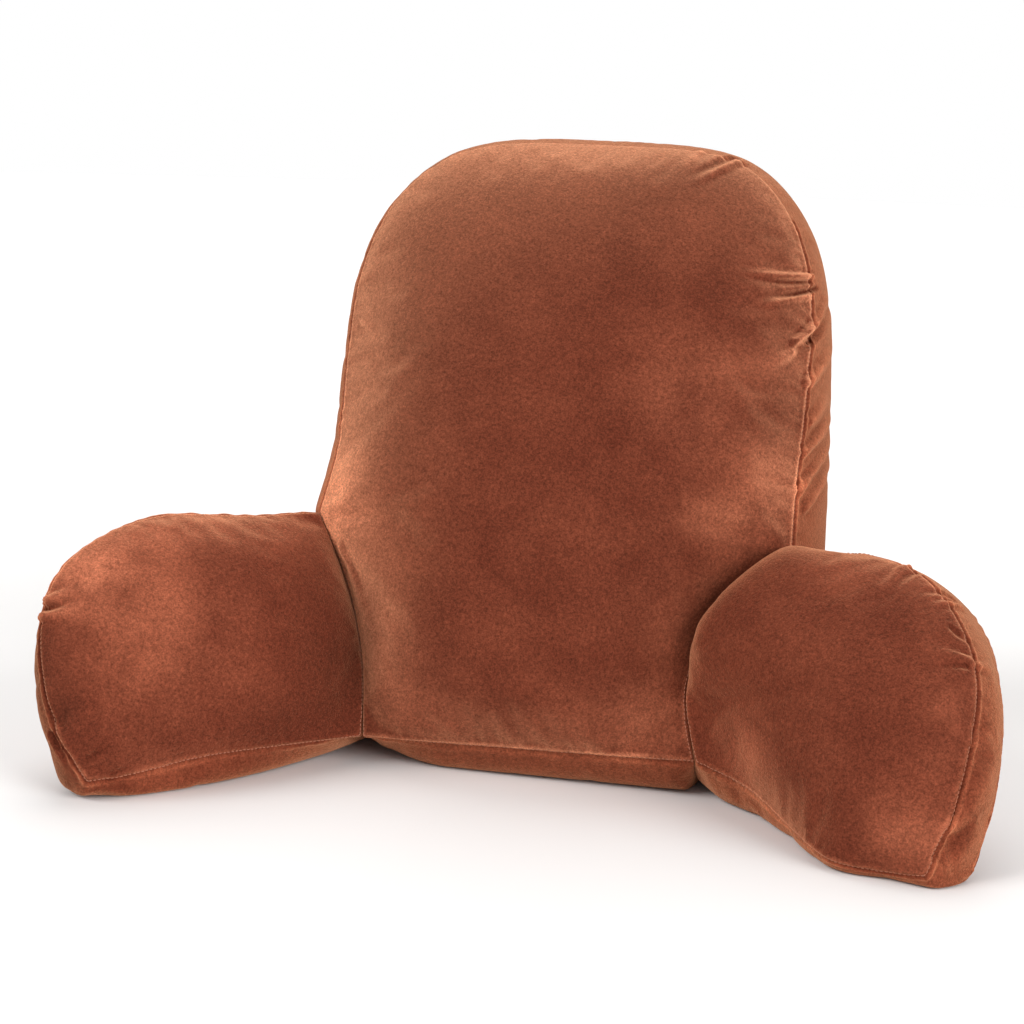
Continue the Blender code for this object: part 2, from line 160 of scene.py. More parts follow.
# Deep and brushed tones, the colour of the painted rim sheen (rim), and where that painted sheen
# grows.
VELVETS = table("name deep brushed rim glow_from glow_most",
    ("panel_velvet", (0.125, 0.027, 0.0135), (0.19, 0.046, 0.023), (0.52, 0.2, 0.105), 0.04, 0.9),
    ("arm_velvet", (0.135, 0.029, 0.0145), (0.2, 0.048, 0.024), (0.42, 0.15, 0.078), 0.3, 0.8),
    ("gusset_velvet", (0.145, 0.03, 0.0145), (0.21, 0.05, 0.024), (0.35, 0.11, 0.052), 0.04, 0.7))


def texture(nodes, kind, **values):
    """A shader node with its input values set."""
    node = nodes.new(kind)
    for key, value in values.items():
        node.inputs[key.replace("_", " ")].default_value = value
    return node


def pile_group():
    """Node group for velvet pile: brushed patches, painted sheen and shade, grain, pile height."""
    group = bpy.data.node_groups.new("velvet_pile", "ShaderNodeTree")
    for name, value in PILE_INPUTS.items():
        kind = "NodeSocketColor" if isinstance(value, tuple) else "NodeSocketFloat"
        group.interface.new_socket(name, in_out="INPUT", socket_type=kind).default_value = value
    group.interface.new_socket("Color", in_out="OUTPUT", socket_type="NodeSocketColor")
    group.interface.new_socket("Height", in_out="OUTPUT", socket_type="NodeSocketFloat")
    nodes, links = group.nodes, group.links
    given, out = nodes.new("NodeGroupInput"), nodes.new("NodeGroupOutput")
    place = nodes.new("ShaderNodeTexCoord")

    def noise_of(scale, detail, low, high, least, most):
        speckle = texture(nodes, "ShaderNodeTexNoise", Detail=detail, Roughness=0.6)
        links.new(place.outputs["Object"], speckle.inputs["Vector"])
        links.new(given.outputs[scale], speckle.inputs["Scale"])
        spread = texture(nodes, "ShaderNodeMapRange", From_Min=low, From_Max=high,
                         To_Min=least, To_Max=most)
        links.new(speckle.outputs["Fac"], spread.inputs["Value"])
        return spread.outputs["Result"]

    def joined(operation, first, second):
        node = nodes.new("ShaderNodeMath")
        node.operation = operation
        for socket, value in zip(node.inputs, (first, second)):
            if isinstance(value, float):
                socket.default_value = value
            else:
                links.new(value, socket)
        return node.outputs["Value"]

    def blend_of(share, first, second):
        node = nodes.new("ShaderNodeMix")
        node.data_type = "RGBA"
        links.new(share, node.inputs["Factor"])
        links.new(first, node.inputs["A"])
        links.new(second, node.inputs["B"])
        return node.outputs["Result"]

    patches, tufts, grain = (noise_of(**row) for row in PILE_NOISES)
    # The nap attribute carries painted light and shade from seams, folds and patches, partly
    # brushed pile.
    nap = nodes.new("ShaderNodeAttribute")
    nap.attribute_name = "nap"
    painted_nap_light = joined("MULTIPLY", nap.outputs["Fac"], joined("ADD", patches, NAP_EVEN_SHARE))
    lift = joined("ADD", joined("MULTIPLY", painted_nap_light, NAP_PAINTED_TONE), 1.0)
    tone = joined("MULTIPLY", joined("MULTIPLY", tufts, grain), joined("MAXIMUM", lift, DARKEST))
    # Painted sheen: the rim colour is mixed into the colour by the facing share, more where the
    # nap is paler.
    painted_sheen = joined("ADD", given.outputs["Glow"], joined("MULTIPLY", painted_nap_light, NAP_PAINTED_SHEEN))
    brushed = blend_of(patches, given.outputs["Deep"], given.outputs["Brushed"])
    with_painted_sheen = blend_of(joined("MAXIMUM", painted_sheen, 0.0), brushed, given.outputs["Rim"])
    shade = nodes.new("ShaderNodeVectorMath")
    shade.operation = "SCALE"
    links.new(with_painted_sheen, shade.inputs["Vector"])
    links.new(tone, shade.inputs["Scale"])
    links.new(shade.outputs["Vector"], out.inputs["Color"])
    links.new(joined("ADD", tufts, grain), out.inputs["Height"])
    return group


pile = pile_group()


def velvet(name, deep, brushed, rim, glow_from, glow_most):
    """One panel's velvet, with a sheen in the rim colour painted in where it is seen along."""
    material, shader = principled(name, Roughness=0.85, Specular_IOR_Level=0.04, Sheen_Weight=0.75,
                                  Sheen_Roughness=0.38, Sheen_Tint=(1.0, 0.5, 0.27, 1))
    nodes, links = material.node_tree.nodes, material.node_tree.links
    cloth = nodes.new("ShaderNodeGroup")
    cloth.node_tree = pile
    for socket, colour in (("Deep", deep), ("Brushed", brushed), ("Rim", rim)):
        cloth.inputs[socket].default_value = (*colour, 1)
    bump = texture(nodes, "ShaderNodeBump", **PILE_BUMP)
    # Painted sheen: the rim colour goes into the base colour where the surface is seen along.
    slant = texture(nodes, "ShaderNodeLayerWeight", Blend=0.5)
    painted_sheen = texture(nodes, "ShaderNodeMapRange", From_Min=glow_from, From_Max=glow_from + PAINTED_SHEEN_RUN,
                   To_Min=0.0, To_Max=glow_most)
    painted_sheen.interpolation_type = "SMOOTHSTEP"
    links.new(slant.outputs["Facing"], painted_sheen.inputs["Value"])
    links.new(painted_sheen.outputs["Result"], cloth.inputs["Glow"])
    links.new(cloth.outputs["Color"], shader.inputs["Base Color"])
    links.new(cloth.outputs["Height"], bump.inputs["Height"])
    links.new(bump.outputs["Normal"], shader.inputs["Normal"])
    return material


panel_velvet, arm_velvet, gusset_velvet = (velvet(**row) for row in VELVETS)


# ---- Arms -------------------------------------------------------------------------------------
# Two mitten-shaped velvet cushions round loose filling. Each has an inner panel, an outer panel
# and a gusset, the strip sewn between them. It is turned out, filled, and sewn into the side of
# the backrest along a hinge.

RECLINE = radians(23.0)                           # lean of the backrest's front panel
FACE_HEIGHT = 0.577                               # its length, up the slope
FOOT_Y = -0.0746                                  # where its foot stands
SEAM_LIFT, REAR_SEAM_LIFT = 0.031, 0.020          # heights of the two lowest seams
BASE_DEPTH, TOP_DEPTH = 0.180, 0.100              # the gusset's width at the base and the top
HINGE_FOOT_HALF, HINGE_TOP_HALF = 0.153, 0.221    # the backrest's half width along a hinge
HINGE_TOP_UP, HINGE_REAR_UP = 0.200, 0.165        # a hinge's length up the front and back panels
HINGE_BOW, HINGE_TOE = 0.016, 0.18                # how a hinge is bent, and turned to the rear
HINGE_SAG, SAG_FADE = 0.040, 10                   # how its foot sags, and how soon that is over
PART_GAP = 0.00035                                # parting of two cushions along a hinge
BASE_SWELL, BASE_REACH = 0.055, 0.050             # sinking of the base, and up to what height
BASE_TAUT = 0.5                                   # how much less a gusset bows out down there
SWELL_LOW, SWELL_HIGH = 0.10, 0.20                # heights between which a gusset's swell changes
PANEL_ROUND, GUSSET_ROUND = 0.72, 2.2             # how round each filled shape is
BASE_ROUND, SAG_ROUND = 4.0, 0.7
STUFFING_REACH = 0.100                            # how far hard stuffing reaches from a hinge
SLACK_LOW, SLACK_HIGH, SLACK_REACH = 0.06, 0.15, 0.060    # where the cloth lies slack by a hinge
HINGES = {
    -1: {"lift": -0.005, "root": 0.016, "backrest_run": 0.085, "arm_run": 0.150, "delay": 2.4},
    1: {"lift": 0.005, "root": 0.042, "backrest_run": 0.015, "arm_run": 0.030, "delay": 1.1},
}
BACKREST_SWELL = 0.016
ARM_FILL = {"near_crown": 0.044, "far_crown": 0.026, "swell": 0.009, "top_swell": 0.002,
            "swell_run": 0.050, "slack": (0.8, 0.85)}
# How far an arm's inner panel rolls over its hinge: rise out of the panel, lean towards the
# backrest, and the heights between which the roll starts and is whole.
ROLLS = {
    "arm_left": {"rise": 0.001, "lean": 0.000, "start": 0.02, "whole": 0.12},
    "arm_right": {"rise": 0.020, "lean": 0.012, "start": 0.06, "whole": 0.16},
}
ROLL_RUN, ROLL_FADE = 0.012, 0.075     # how near the hinge it is whole, and how far off it ends

LEFT_ARM_FOOT = table("forward up bow out back drop",
    (0.060, 0.003, 0.000, 0.070, 0.100, 0.010),
    (0.150, 0.005, 0.005, 0.058, 0.062, 0.008),
    (0.215, 0.000, 0.004, 0.044, 0.048, 0.004))
LEFT_ARM_EDGE = table("forward up out back drop",
    (0.258, 0.000, 0.034, 0.038, 0.000),
    (0.275, 0.045, 0.027, 0.040, 0.004),
    (0.279, 0.095, 0.016, 0.044, 0.010),
    (0.272, 0.145, 0.008, 0.048, 0.016),
    (0.250, 0.186, 0.004, 0.054, 0.022),
    (0.208, 0.214, 0.004, 0.066, 0.028),
    (0.145, 0.229, 0.002, 0.088, 0.036),
    (0.060, 0.219, 0.002, 0.112, 0.040))
RIGHT_ARM_FOOT = table("forward up bow out back drop",
    (0.055, 0.000, -0.008, 0.070, 0.100, 0.004),
    (0.110, -0.012, -0.002, 0.066, 0.084, 0.000),
    (0.150, -0.020, 0.014, 0.061, 0.070, 0.000),
    (0.185, -0.023, 0.021, 0.056, 0.060, 0.000),
    (0.220, -0.013, 0.006, 0.050, 0.047, 0.000))
RIGHT_ARM_EDGE = table("forward up out back drop",
    (0.253, 0.000, 0.037, 0.036, 0.000),
    (0.250, 0.055, 0.031, 0.040, 0.004),
    (0.237, 0.112, 0.025, 0.044, 0.010),
    (0.216, 0.163, 0.020, 0.050, 0.020),
    (0.181, 0.199, 0.022, 0.060, 0.023),
    (0.132, 0.225, 0.020, 0.082, 0.032),
    (0.085, 0.228, 0.006, 0.100, 0.038),
    (0.040, 0.217, 0.004, 0.118, 0.040))
ARMS = table("name side splay dip hinge_stuffing corner_run foot edge",
    ("arm_left", -1, radians(48.8), 0.03, 0.0, 0.040, LEFT_ARM_FOOT, LEFT_ARM_EDGE),
    ("arm_right", 1, radians(55.0), 0.10, 1.0, 0.130, RIGHT_ARM_FOOT, RIGHT_ARM_EDGE))

HINGE_STEPS, ARM_FOOT_STEPS, ARM_EDGE_STEPS = 46, 60, 110    # the cloth's points along its seams
GUSSET_STEPS, SEAM_CROWD = 24, 0.6            # rows across a gusset, and how they crowd at seams
LATTICE, FAR_LATTICE = 0.0075, 0.0145         # spacing of points inside the near and far panels
SEAM_RINGS = (0.0022, 0.0058)                 # closer rows of points beside a seam
RING_CLEAR, LATTICE_CLEAR = 0.9, 0.6          # shares of those that are kept clear of the seam
CURVE_STEPS, SETTLING_STEPS, POINTS_AT_ONCE = 40, 600, 2000


def eased(share):
    """0 to 1 with a soft start and end."""
    share = np.clip(share, 0, 1)
    return share * share * (3 - 2 * share)


def square_to(vector, axis):
    """The part of a vector that is square to an axis, at length 1."""
    part = vector - vector.dot(axis) * axis
    return part / np.linalg.norm(part)


def spaced(points, steps):
    """Evenly spaced points along a run of points."""
    run = np.r_[0, np.cumsum(np.linalg.norm(np.diff(points[:, :3], axis=0), axis=1))]
    marks = np.linspace(0, run[-1], steps + 1)
    return np.stack([np.interp(marks, run, column) for column in points.T], axis=1)


def smooth_curve(points, steps):
    """Evenly spaced points of a smooth curve through the given ones."""
    points = np.asarray(points, float)
    padded = np.vstack([2 * points[0] - points[1], points, 2 * points[-1] - points[-2]])
    dense = []
    for p0, p1, p2, p3 in zip(padded, padded[1:], padded[2:], padded[3:]):
        for t in np.linspace(0, 1, CURVE_STEPS, endpoint=False):
            bend = (2 * p0 - 5 * p1 + 4 * p2 - p3) * t ** 2 + (3 * p1 - p0 - 3 * p2 + p3) * t ** 3
            dense.append(0.5 * (2 * p1 + (p2 - p0) * t + bend))
    dense.append(points[-1])
    return spaced(np.array(dense), steps)


REAR_TOP_Y = FACE_HEIGHT * sin(RECLINE) + TOP_DEPTH * cos(RECLINE)
REAR_TOP_Z = SEAM_LIFT + FACE_HEIGHT * cos(RECLINE) - TOP_DEPTH * sin(RECLINE)


def on_front(half, up):
    """Point of the backrest's front panel plane."""
    return np.array([half, FOOT_Y + up * sin(RECLINE), SEAM_LIFT + up * cos(RECLINE)])


def on_rear(half, up):
    """Point of its back panel plane, at the same share of its height."""
    share = up / FACE_HEIGHT
    y = FOOT_Y + BASE_DEPTH + share * (REAR_TOP_Y - BASE_DEPTH)
    z = REAR_SEAM_LIFT + share * (REAR_TOP_Z - REAR_SEAM_LIFT)
    return np.array([half, y, z])


def across_shares():
    """Rows across a gusset, closer beside its two seams."""
    even = np.linspace(0, 1, GUSSET_STEPS + 1)
    return even - SEAM_CROWD * np.sin(2 * pi * even) / (2 * pi)


def wall_half(y, z, share, across, root):
    """Half width of the wall where an arm's root meets the backrest."""
    foot = on_front(0, 0)
    top = on_front(0, HINGE_TOP_UP)
    toe = HINGE_TOE * (top[1] - foot[1])
    slope = (HINGE_TOP_HALF - HINGE_FOOT_HALF - toe) / (top[2] - foot[2])
    straight = HINGE_FOOT_HALF + HINGE_TOE * (y - foot[1]) + slope * (z - foot[2])
    flare = BACKREST_SWELL * (1 - abs(2 * across - 1) ** GUSSET_ROUND) * eased(2 * share - 1)
    bow = root * (1 - across) + HINGE_BOW * across
    return straight - bow * np.sin(pi * share) + flare


def hinge_wall(side, outward):
    """Grid of a wall's points: a row for each step across the gusset, each from foot to top."""
    shares = np.linspace(0, 1, HINGE_STEPS + 1)
    front = np.array([on_front(0, share * HINGE_TOP_UP) for share in shares])
    rear = np.array([on_rear(0, share * HINGE_REAR_UP) for share in shares])
    front[:, 2] += HINGES[side]["lift"] * (1 - shares)
    rows = []
    for across in across_shares():
        row = front * (1 - across) + rear * across
        sag = HINGE_SAG * abs(sin(pi * across ** HINGES[side]["delay"])) ** SAG_ROUND
        row[:, 2] -= sag * np.clip(1 - shares * SAG_FADE, 0, 1)
        half = wall_half(row[:, 1], row[:, 2], shares, across, HINGES[side]["root"])
        row[:, 0] = side * (half + outward)
        rows.append(row)
    return np.array(rows)


def arm_edges(arm):
    """Inner and outer panel edges of an arm: hinge from top to foot, foot, front end and top.

    The third value tells, for each edge point on the hinge, its wall and its column there.
    """
    side = arm["side"]
    wall = hinge_wall(side, PART_GAP)
    foot, top = wall[0, 0], wall[0, -1]
    ahead = np.array([side * sin(arm["splay"]), -cos(arm["splay"]), -arm["dip"]])
    ahead /= np.linalg.norm(ahead)
    rising = square_to(top - foot, ahead)
    facing = side * np.cross(ahead, rising)

    def edge_point(row):
        bow = row.get("bow", 0) * facing
        inner = foot + row["forward"] * ahead + row["up"] * rising + bow
        return np.r_[inner, inner + np.array([side * row["out"], row["back"], -row["drop"]])]

    foot_points = [np.r_[wall[0, 0], wall[-1, 0]]] + [edge_point(row) for row in arm["foot"]]
    edge_points = [edge_point(row) for row in arm["edge"]] + [np.r_[wall[0, -1], wall[-1, -1]]]
    foot_run = smooth_curve(foot_points + edge_points[:1], ARM_FOOT_STEPS)
    edge_run = smooth_curve(edge_points, ARM_EDGE_STEPS)
    inner = np.vstack([wall[0, :0:-1], foot_run[:-1, :3], edge_run[:-1, :3]])
    outer = np.vstack([wall[-1, :0:-1], foot_run[:-1, 3:], edge_run[:-1, 3:]])
    hinged = {i: (wall, HINGE_STEPS - i) for i in range(HINGE_STEPS + 1)}
    return inner, outer, hinged


def mean_normal(loop):
    """Unit normal of a closed run of points, by the right-hand rule."""
    middle = loop.mean(axis=0)
    total = np.cross(loop - middle, np.roll(loop, -1, axis=0) - middle).sum(axis=0)
    return total / np.linalg.norm(total)


def edge_distance(points, loop):
    """Distance of flat points from a closed flat outline."""
    start, run = loop, np.roll(loop, -1, axis=0) - loop
    nearest = np.full(len(points), np.inf)
    for begin in range(0, len(points), POINTS_AT_ONCE):
        block = points[begin:begin + POINTS_AT_ONCE, None]
        along = np.clip(((block - start) * run).sum(axis=2) / (run * run).sum(axis=1), 0, 1)
        gap = np.linalg.norm(block - start - along[..., None] * run, axis=2)
        nearest[begin:begin + POINTS_AT_ONCE] = gap.min(axis=1)
    return nearest


def within(points, loop):
    """Which flat points lie inside a closed flat outline."""
    x, y = points[:, :1], points[:, 1:]
    ahead = np.roll(loop, -1, axis=0)
    spans = (loop[:, 1] > y) != (ahead[:, 1] > y)
    rise = np.where(ahead[:, 1] == loop[:, 1], 1e-12, ahead[:, 1] - loop[:, 1])
    crossing = loop[:, 0] + (y - loop[:, 1]) * (ahead[:, 0] - loop[:, 0]) / rise
    return (spans & (x < crossing)).sum(axis=1) % 2 == 1


def cut_panel(flat, lattice):
    """Points and triangles of a cloth panel with the given flat outline."""
    ahead = np.roll(flat, -1, axis=0)
    lean = ahead - np.roll(flat, 1, axis=0)
    turn = np.sign((flat[:, 0] * ahead[:, 1] - ahead[:, 0] * flat[:, 1]).sum())
    inward = turn * np.stack([-lean[:, 1], lean[:, 0]], axis=1)
    inward = inward / np.linalg.norm(lean, axis=1)[:, None]
    kept = [flat]
    # Rows of points follow the seam closely, and a lattice of triangles fills the rest.
    for ring in SEAM_RINGS:
        points = flat + inward * ring
        clear = edge_distance(points, flat) > RING_CLEAR * ring
        kept.append(points[within(points, flat) & clear])
    low, high = flat.min(axis=0), flat.max(axis=0)
    columns = np.arange(low[0], high[0], lattice)
    rows = np.arange(low[1], high[1], lattice * sin(pi / 3))
    grid = np.array([(x + lattice / 2 * (j % 2), y) for j, y in enumerate(rows) for x in columns])
    grid = grid[within(grid, flat)]
    kept.append(grid[edge_distance(grid, flat) > SEAM_RINGS[-1] + LATTICE_CLEAR * lattice])
    points = np.vstack(kept)
    edges = [(i, (i + 1) % len(flat)) for i in range(len(flat))]
    _, _, faces, origin, _, _ = delaunay_2d_cdt([Vector(p) for p in points], edges, [], 1, 1e-7)
    source = np.array([old[0] for old in origin])
    triangles = source[np.array([face[:] for face in faces])]
    used = np.unique(np.r_[np.arange(len(flat)), triangles.ravel()])
    renumber = np.full(len(points), -1)
    renumber[used] = np.arange(len(used))
    return points[used], renumber[triangles]


def sheet_balance(flat, triangles):
    """Pairs of joined points, how strongly each pair pulls, and each point's share of the area."""
    pairs, pulls = [], []
    area = np.zeros(len(flat))
    for k in range(3):
        a, b, c = (flat[triangles[:, (k + step) % 3]] for step in range(3))
        to_a, to_b = a - c, b - c
        cross = abs(to_a[:, 0] * to_b[:, 1] - to_a[:, 1] * to_b[:, 0])
        pairs.append(triangles[:, [k, (k + 1) % 3]])
        pulls.append((to_a * to_b).sum(axis=1) / cross / 2)
        np.add.at(area, triangles[:, k], cross / 6)
    return np.vstack(pairs), np.maximum(np.concatenate(pulls), 1e-4), area


def settled(flat, triangles, loop, push):
    """Rests a panel between its seams, and tells how far even pressure would raise each point."""
    pairs, pulls, area = sheet_balance(flat, triangles)
    count, edge = len(flat), len(loop)
    start = np.zeros((count, 4))
    start[:edge, :3] = loop
    start[edge:, :3] = loop.mean(axis=0)
    load = np.zeros((count, 4))
    load[:, 3] = push * area

    # The first three columns are the sheet's points and the fourth is its rise under pressure.
    # All four are solved at once, by conjugate gradients.
    def strain(sheet):
        out = np.zeros_like(sheet)
        difference = (sheet[pairs[:, 0]] - sheet[pairs[:, 1]]) * pulls[:, None]
        for channel in range(4):
            out[:, channel] = (np.bincount(pairs[:, 0], difference[:, channel], count)
                               - np.bincount(pairs[:, 1], difference[:, channel], count))
        return out

    sheet = start
    rest = load - strain(sheet)
    rest[:edge] = 0
    step = rest.copy()
    size = (rest * rest).sum(axis=0)
    for _ in range(SETTLING_STEPS):
        pull = strain(step)
        pull[:edge] = 0
        reach = size / np.maximum((step * pull).sum(axis=0), 1e-30)
        sheet = sheet + reach * step
        rest = rest - reach * pull
        new_size = (rest * rest).sum(axis=0)
        step = rest + new_size / np.maximum(size, 1e-30) * step
        size = new_size
    return sheet[:, :3], sheet[:, 3]


def loop_steps(loop):
    """Distance from each point of a closed run to the following one."""
    return np.linalg.norm(np.roll(loop, -1, axis=0) - loop, axis=1)


def reach_from_hinge(loop, hinged):
    """Distance of each edge point along its seam from the nearest hinge, and where that is met."""
    count, steps = len(loop), loop_steps(loop)
    reach = np.full(count, np.inf)
    meeting = np.arange(count)
    reach[list(hinged)] = 0
    for turn in (1, -1, 1, -1):
        for i in range(count)[::turn]:
            before = (i - turn) % count
            length = reach[before] + steps[before if turn == 1 else i]
            if length < reach[i]:
                reach[i], meeting[i] = length, meeting[before]
    return reach, meeting


CORNER_LIFT = 0.65        # the base's sinking fades towards an arm's front corner


def gusset_rows(near, far, hinged, fill, base_runs, corner):
    """Rows across the gusset: bowed out, sunk to the floor underneath, flat against a hinge."""
    tangent = np.roll(near, -1, axis=0) - np.roll(near, 1, axis=0)
    outward = np.cross(tangent, mean_normal(near))
    outward /= np.linalg.norm(outward, axis=1)[:, None]
    reach, meeting = reach_from_hinge(near, hinged)
    base_run = np.where(near[:, 0] < 0, base_runs[0], base_runs[1])
    at_top = near[meeting, 2] > SWELL_LOW
    grown = eased(reach / np.where(at_top, fill["swell_run"], base_run))
    low = eased((BASE_REACH - near[:, 2]) / (BASE_REACH - SEAM_LIFT))
    high = eased((near[:, 2] - SWELL_LOW) / (SWELL_HIGH - SWELL_LOW))
    bow = (fill["swell"] + (fill["top_swell"] - fill["swell"]) * high) * (1 - BASE_TAUT * low)
    bow *= eased(reach / fill["swell_run"])
    sink = BASE_SWELL * eased(reach / base_run) * low
    if corner is not None:
        place, run = corner
        from_corner = np.linalg.norm(near - near[place], axis=1)
        sink *= 1 - CORNER_LIFT * np.exp(-(from_corner / run) ** 2)
    rows = []
    for step, across in enumerate(across_shares()):
        off_middle = abs(2 * across - 1)
        row = near * (1 - across) + far * across
        wall_edge = np.array([hinged[i][0][step, hinged[i][1]] for i in meeting])
        row += (wall_edge - row[meeting]) * (1 - grown)[:, None]
        row += outward * (bow * (1 - off_middle ** GUSSET_ROUND))[:, None]
        row[:, 2] -= sink * (1 - off_middle ** BASE_ROUND)
        rows.append(row)
    return rows


def sewn_cover(name, near, far, hinged, fill, base_runs, panel_cloth, corner=None):
    """A cover sewn from two panels and a gusset.

    Gives the object, the numbers of its seam points, and how many points its near panel has.
    """
    facing = mean_normal(near)
    turn = np.sign(facing.dot(near.mean(axis=0) - far.mean(axis=0)))
    first = square_to(near[1] - near[0], facing)
    second = np.cross(facing, first)
    flat = np.stack([near @ first, near @ second], axis=1)
    hinge_flat = flat[list(hinged)]
    panels = []
    # Each panel is cut flat, rested between its seams and pushed out by the filling.
    for loop, outward, crown, lattice in (
            (near, turn * facing, fill["near_crown"], LATTICE),
            (far, -turn * mean_normal(far), fill["far_crown"], FAR_LATTICE)):
        flat_points, triangles = cut_panel(flat, lattice)
        away = np.array([np.linalg.norm(hinge_flat - point, axis=1) for point in flat_points])
        gap, beside = away.min(axis=1), near[list(hinged)][away.argmin(axis=1)]
        slack = np.where(beside[:, 0] < 0, *fill["slack"]) * np.exp(-(gap / SLACK_REACH) ** 2)
        slack *= 1 - eased((beside[:, 2] - SLACK_LOW) / (SLACK_HIGH - SLACK_LOW))
        push = 1 + fill["hinge_stuffing"] * np.exp(-gap / STUFFING_REACH)
        rested, rise = settled(flat_points, triangles, loop, push)
        lift = crown * (np.maximum(rise, 0) / rise.max()) ** PANEL_ROUND * (1 - slack)
        panels.append((rested + outward * lift[:, None], triangles))
    # The gusset's rows run from the near panel's seam points to the far panel's.
    rows = gusset_rows(near, far, hinged, fill, base_runs, corner)
    count, size = len(near), len(panels[0][0])
    points = np.vstack([panels[0][0]] + rows[1:-1] + [panels[1][0]])
    far_start = size + count * (GUSSET_STEPS - 1)
    starts = [0] + [size + count * row for row in range(GUSSET_STEPS - 1)] + [far_start]
    faces = []
    for triangles, start, flipped in ((panels[0][1], 0, turn < 0),
                                      (panels[1][1], far_start, turn > 0)):
        faces += ((triangles[:, ::-1] if flipped else triangles) + start).tolist()
    panel_faces = len(faces)
    for begin, following in zip(starts, starts[1:]):
        for i in range(count):
            j = (i + 1) % count
            quad = (begin + i, following + i, following + j, begin + j)
            faces.append(quad if turn > 0 else quad[::-1])
    mesh = bpy.data.meshes.new(name)
    mesh.from_pydata(points.tolist(), [], faces)
    mesh.materials.append(panel_cloth)
    mesh.materials.append(gusset_velvet)
    cloths = [0] * panel_faces + [1] * (len(faces) - panel_faces)
    mesh.polygons.foreach_set("material_index", cloths)
    mesh.shade_smooth()
    piece = placed(name, mesh)
    held = set(range(count)) | set(range(far_start, far_start + count))
    for i in hinged:
        held.update(begin + i for begin in starts)
    return piece, sorted(held), size


def vertex_array(mesh, kind="co"):
    """The mesh's points as an array, or their normals."""
    values = np.empty(len(mesh.vertices) * 3)
    mesh.vertices.foreach_get(kind, values)
    return values.reshape(-1, 3)


def put_vertices(mesh, points):
    """Moves the mesh's points to an array's."""
    mesh.vertices.foreach_set("co", np.asarray(points, float).ravel())
    mesh.update()


FILLING_STEPS = 22
VELVET_CLOTH = {"quality": 6, "mass": 0.25, "tension_stiffness": 18, "compression_stiffness": 18,
                "shear_stiffness": 8, "bending_stiffness": 0.6, "pin_stiffness": 1.0}


def fill_cover(piece, held, pressure, spare, most):
    """Fills a sewn cover like a cushion: pressure inside, seams held, and a little spare cloth.

    No point moves by more than the given most.
    """
    before = vertex_array(piece.data)
    group = piece.vertex_groups.new(name="sewn")
    group.add(held, 1.0, "REPLACE")
    cloth = piece.modifiers.new("filling", "CLOTH")
    settings = cloth.settings
    for setting, value in VELVET_CLOTH.items():
        setattr(settings, setting, value)
    settings.use_pressure = True
    settings.uniform_pressure_force = pressure
    settings.shrink_min = settings.shrink_max = -spare
    settings.vertex_group_mass = group.name
    settings.effector_weights.gravity = 0
    cloth.collision_settings.use_collision = False
    cloth.collision_settings.use_self_collision = False
    cloth.point_cache.frame_end = FILLING_STEPS
    scene = bpy.context.scene
    for step in range(1, FILLING_STEPS + 1):
        scene.frame_set(step)
    shaped = piece.evaluated_get(bpy.context.evaluated_depsgraph_get())
    after = vertex_array(shaped.data)
    piece.modifiers.remove(cloth)
    piece.vertex_groups.remove(group)
    scene.frame_set(1)
    move = after - before
    length = np.linalg.norm(move, axis=1)[:, None]
    held_back = most * np.tanh(length / most) / np.maximum(length, 1e-9)
    put_vertices(piece.data, before + move * held_back)


def refine(piece):
    """One smooth subdivision, kept in the mesh."""
    smooth = piece.modifiers.new("finer", "SUBSURF")
    smooth.levels = smooth.render_levels = 1
    smooth.boundary_smooth = "PRESERVE_CORNERS"
    shaped = piece.evaluated_get(bpy.context.evaluated_depsgraph_get())
    mesh = bpy.data.meshes.new_from_object(shaped)
    piece.modifiers.remove(smooth)
    mesh.name = piece.name
    piece.data = mesh
    mesh.shade_smooth()


BASE_EDGE = 0.016          # height up to which the base turns up into the sides


def flatten_base(piece):
    """Lays the underside flat on the floor, with a round turn up into the sides."""
    points = vertex_array(piece.data)
    height = points[:, 2]
    turning = (np.clip(height, -BASE_EDGE, BASE_EDGE) + BASE_EDGE) ** 2 / (4 * BASE_EDGE)
    points[:, 2] = np.where(height > BASE_EDGE, height, turning)
    put_vertices(piece.data, points)


def roll_over(piece, panel_count, inner, hinged, roll):
    """Rolls the inner panel of an arm over its hinge, where the two cushions press together."""
    points = vertex_array(piece.data)
    hinge = inner[sorted(hinged)]
    facing = mean_normal(inner)
    facing *= np.sign(facing.dot((0, -1, 0)))
    away = square_to(inner.mean(axis=0) - hinge.mean(axis=0), facing)
    for i in range(panel_count):
        gaps = np.linalg.norm(hinge - points[i], axis=1)
        gap, height = gaps.min(), hinge[gaps.argmin(), 2]
        share = eased((height - roll["start"]) / (roll["whole"] - roll["start"]))
        share *= (1 - np.exp(-gap / ROLL_RUN)) * np.exp(-(gap / ROLL_FADE) ** 2)
        points[i] += share * (roll["rise"] * facing - roll["lean"] * away)
    put_vertices(piece.data, points)


